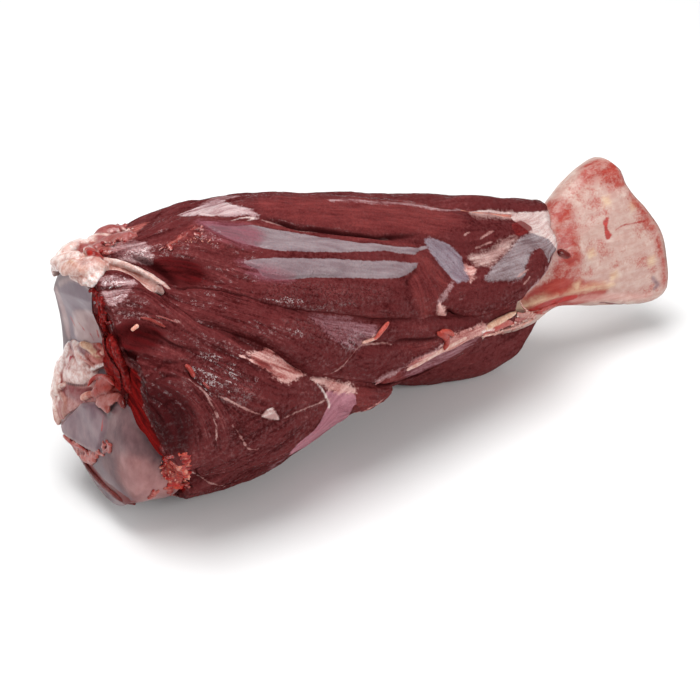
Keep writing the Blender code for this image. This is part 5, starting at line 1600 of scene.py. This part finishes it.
# --- Shreds and crumbs on the meat -----------------------------
# Small torn ends that stand up from the cut meat, and patches of crumbs where fat and skin were
# scraped off. They hang on the muscles that they were torn from.

SHRED_BITS = [
    ("#dfb3a2", 2.6, 2.4, 1.2, [(132, 330), (134, 328), (137, 326)]),
    ("#7c3632", 1.8, 1.6, 0.5, [(141, 318), (150, 319), (158, 324), (165, 327)]),
    ("#8a5452", 1.3, 1.2, 0.4, [(156, 316), (165, 318), (174, 322), (182, 323)]),
    ("#8f3a34", 3.0, 2.4, 1.0, [(186, 366), (190, 369), (193, 376)]),
    ("#7f2f2b", 2.0, 2.0, 0.8, [(203, 383), (208, 388)]),
    ("#9a3a31", 4.0, 3.5, 1.0, [(437, 333), (444, 334), (448, 340), (443, 348)]),
    ("#a5453a", 3.0, 3.0, 1.5, [(440, 331), (446, 330), (451, 334)]),
    ("#b0544a", 3.0, 2.5, 1.0, [(387, 323), (382, 329), (376, 336)]),
    ("#cfa79a", 2.5, 2.0, 0.8, [(362, 342), (370, 339), (376, 337)]),
    ("#8c4038", 2.0, 1.6, 0.4, [(167, 246), (175, 242), (184, 237)]),
    ("#7f3a37", 2.0, 1.8, 0.5, [(184, 238), (190, 231), (197, 229)]),
    ("#743030", 1.8, 1.6, 0.5, [(198, 229), (206, 232), (214, 237)]),
    ("#7f3a37", 1.8, 1.6, 0.5, [(214, 238), (222, 244), (231, 246)]),
]
TORN_PATCH = [(162, 458), (172, 454), (188, 450), (191, 462), (189, 478), (180, 487), (168, 486),
              (160, 474)]
TORN_PAD = [(456, 172, 186), (464, 165, 187), (476, 163, 184), (484, 170, 180)]
TORN_TAIL = [(150, 492), (170, 484), (188, 482), (188, 490), (170, 496), (152, 499)]
TORN_RIDGE = [(162, 250), (174, 240), (186, 232), (198, 225), (212, 231), (226, 241), (238, 251),
    (226, 248), (206, 236), (190, 236), (172, 248)]
PALE_CRUMB = "#d78a78"
CRUMB_SEED = 7
CRUMB_PATCHES = [
    ([(160, 462), (165, 455), (176, 456), (188, 450), (192, 462), (190, 478), (180, 488), (168, 486),
      (160, 476)], 160, 0.7, "#8c241c"),
    ([(162, 250), (174, 240), (186, 232), (198, 226), (212, 233), (226, 243), (238, 250), (226, 250),
      (206, 238), (186, 240), (172, 248)], 110, 0.4, "#7a2e2b"),
    ([(98, 246), (108, 234), (122, 229), (134, 240), (130, 252), (118, 256),
      (104, 257)], 160, 0.45, "#8c2e28"),
]


def crumb_tree():
    """Crumbs strewn over a patch of skin: how many, how large, with which seed and material."""
    tree = bpy.data.node_groups.new("crumbs", "GeometryNodeTree")
    face = tree.interface
    face.new_socket("Skin", in_out="INPUT", socket_type="NodeSocketGeometry")
    for label, kind in (("Density", "Float"), ("Size", "Float"), ("Seed", "Int"), ("Material", "Material")):
        face.new_socket(label, in_out="INPUT", socket_type="NodeSocket" + kind)
    face.new_socket("Crumbs", in_out="OUTPUT", socket_type="NodeSocketGeometry")

    def node(kind, settings, inputs):
        made = tree.nodes.new(kind)
        for key, value in settings.items():
            setattr(made, key, value)
        for key, value in inputs.items():
            if isinstance(value, bpy.types.NodeSocket):
                tree.links.new(value, made.inputs[key])
            else:
                made.inputs[key].default_value = value
        return made

    given = node("NodeGroupInput", {}, {}).outputs
    strewn = node("GeometryNodeDistributePointsOnFaces", {},
                  {"Mesh": given["Skin"], "Density": given["Density"], "Seed": given["Seed"]})
    crumb = node("GeometryNodeMeshUVSphere", {}, {"Radius": given["Size"], "Segments": 8, "Rings": 5})
    scale = node("FunctionNodeRandomValue", {"data_type": "FLOAT_VECTOR"},
                 {0: (0.4, 0.4, 0.3), 1: (1.5, 1.1, 0.9), "Seed": given["Seed"]})
    turn = node("FunctionNodeRandomValue", {"data_type": "FLOAT_VECTOR"},
                {0: (0, 0, 0), 1: (6.3, 6.3, 6.3)})
    crumbled = node("GeometryNodeInstanceOnPoints", {},
                  {"Points": strewn.outputs[0], "Instance": crumb.outputs[0], "Scale": scale.outputs[0],
                   "Rotation": turn.outputs[0]})
    real = node("GeometryNodeRealizeInstances", {}, {0: crumbled.outputs[0]})
    dressed = node("GeometryNodeSetMaterial", {},
                   {"Geometry": real.outputs[0], "Material": given["Material"]})
    node("NodeGroupOutput", {}, {0: dressed.outputs[0]})
    return tree


rows = SHRED_BITS + torn(TORN_PATCH, 110, 3.0, 2.2, 1.2, ("#a01c12", "#b0402e", "#861410", "#c98470"), 11)
rows += torn(TORN_TAIL, 14, 8, 2.0, 0.4, ("#a8645c", "#8c2a24"), 12)
rows += torn(TORN_RIDGE, 34, 4, 1.1, 0.5, ("#7c3230", "#b58480", "#5c1a1a"), 13)
laid = laid_bits(rows, [upper, side, lobe, bare])
shreds = melted("meat_shreds", [plate(TORN_PAD, [lobe, bare], 1.4)], laid, "#8c3a34", voxel=0.5, lumpy=0.2,
                ease=3, seed=151)
shreds.data.materials.append(soft)
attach(shreds, "root")

tree = crumb_tree()
sockets = {item.name: item.identifier for item in tree.interface.items_tree if item.in_out == "INPUT"}
for number, (outline, count, size, code) in enumerate(CRUMB_PATCHES):
    shader = Shader("wet crumbs", Coat_Weight=0.6, Coat_Roughness=0.12, Subsurface_Weight=0.2,
                    Subsurface_Scale=0.002)
    shader.give(Base_Color=shader.mix(shader.ramp(shader.noise(1.6, 2), 0.35, 0.65), code, PALE_CRUMB))
    rim_pixels = curve_through(outline, True, 2.0)
    spots, _ = touched(np.vstack([rim_pixels, rim_pixels.mean(axis=0)[None]]), [upper, side, lobe, bare])
    middle = len(spots) - 1
    patch_faces = [(k, (k + 1) % middle, middle) for k in range(middle)]
    area = sum(np.linalg.norm(np.cross(spots[b] - spots[a], spots[c] - spots[a])) / 2
               for a, b, c in patch_faces)
    mesh = bpy.data.meshes.new("crumbs")
    mesh.from_pydata(spots.tolist(), [], patch_faces)
    crumbs = placed("crumbs_%d" % number, mesh)
    strew = crumbs.modifiers.new("crumbs", "NODES")
    strew.node_group = tree
    for label, value in (("Density", count / area), ("Size", size * MM), ("Seed", CRUMB_SEED + number),
                         ("Material", shader.material)):
        strew[sockets[label]] = value
    settled(crumbs).shade_smooth()
    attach(crumbs, "root")


# --- The floor and the light -----------------------------------
# A plain pale floor, a broad soft light above and behind, and softer ones from the camera's side.

FLOOR_SIZE = 6
LIT_SPOT = (0, 0, 0.07)
ROOM_LIGHT = 0.42

bpy.ops.mesh.primitive_plane_add(size=FLOOR_SIZE)
floor = bpy.context.object
floor.name = "floor"
plain = Shader("plain floor", Roughness=0.7, Base_Color=(0.8, 0.8, 0.8, 1))
floor.data.materials.append(plain.material)


def soft_light(name, spot, size, power):
    data = bpy.data.lights.new(name, "AREA")
    data.shape = "RECTANGLE"
    data.size, data.size_y = size
    data.energy = power
    light = placed(name, data)
    light.location = spot
    light.rotation_euler = (Vector(LIT_SPOT) - Vector(spot)).to_track_quat("-Z", "Y").to_euler()


soft_light("light above", (-0.25, 0.1, 1.5), (1.2, 0.9), 26)
soft_light("light from the left", (-1.4, 0.1, 0.9), (1.3, 1.3), 4)
soft_light("light from the front", (0.3, -1.5, 0.8), (1.2, 0.8), 15)
world = bpy.data.worlds.new("pale room")
world.use_nodes = True
background = world.node_tree.nodes["Background"]
background.inputs["Color"].default_value = (1, 1, 1, 1)
background.inputs["Strength"].default_value = ROOM_LIGHT
bpy.context.scene.world = world
bpy.context.scene.view_settings.view_transform = "Standard"
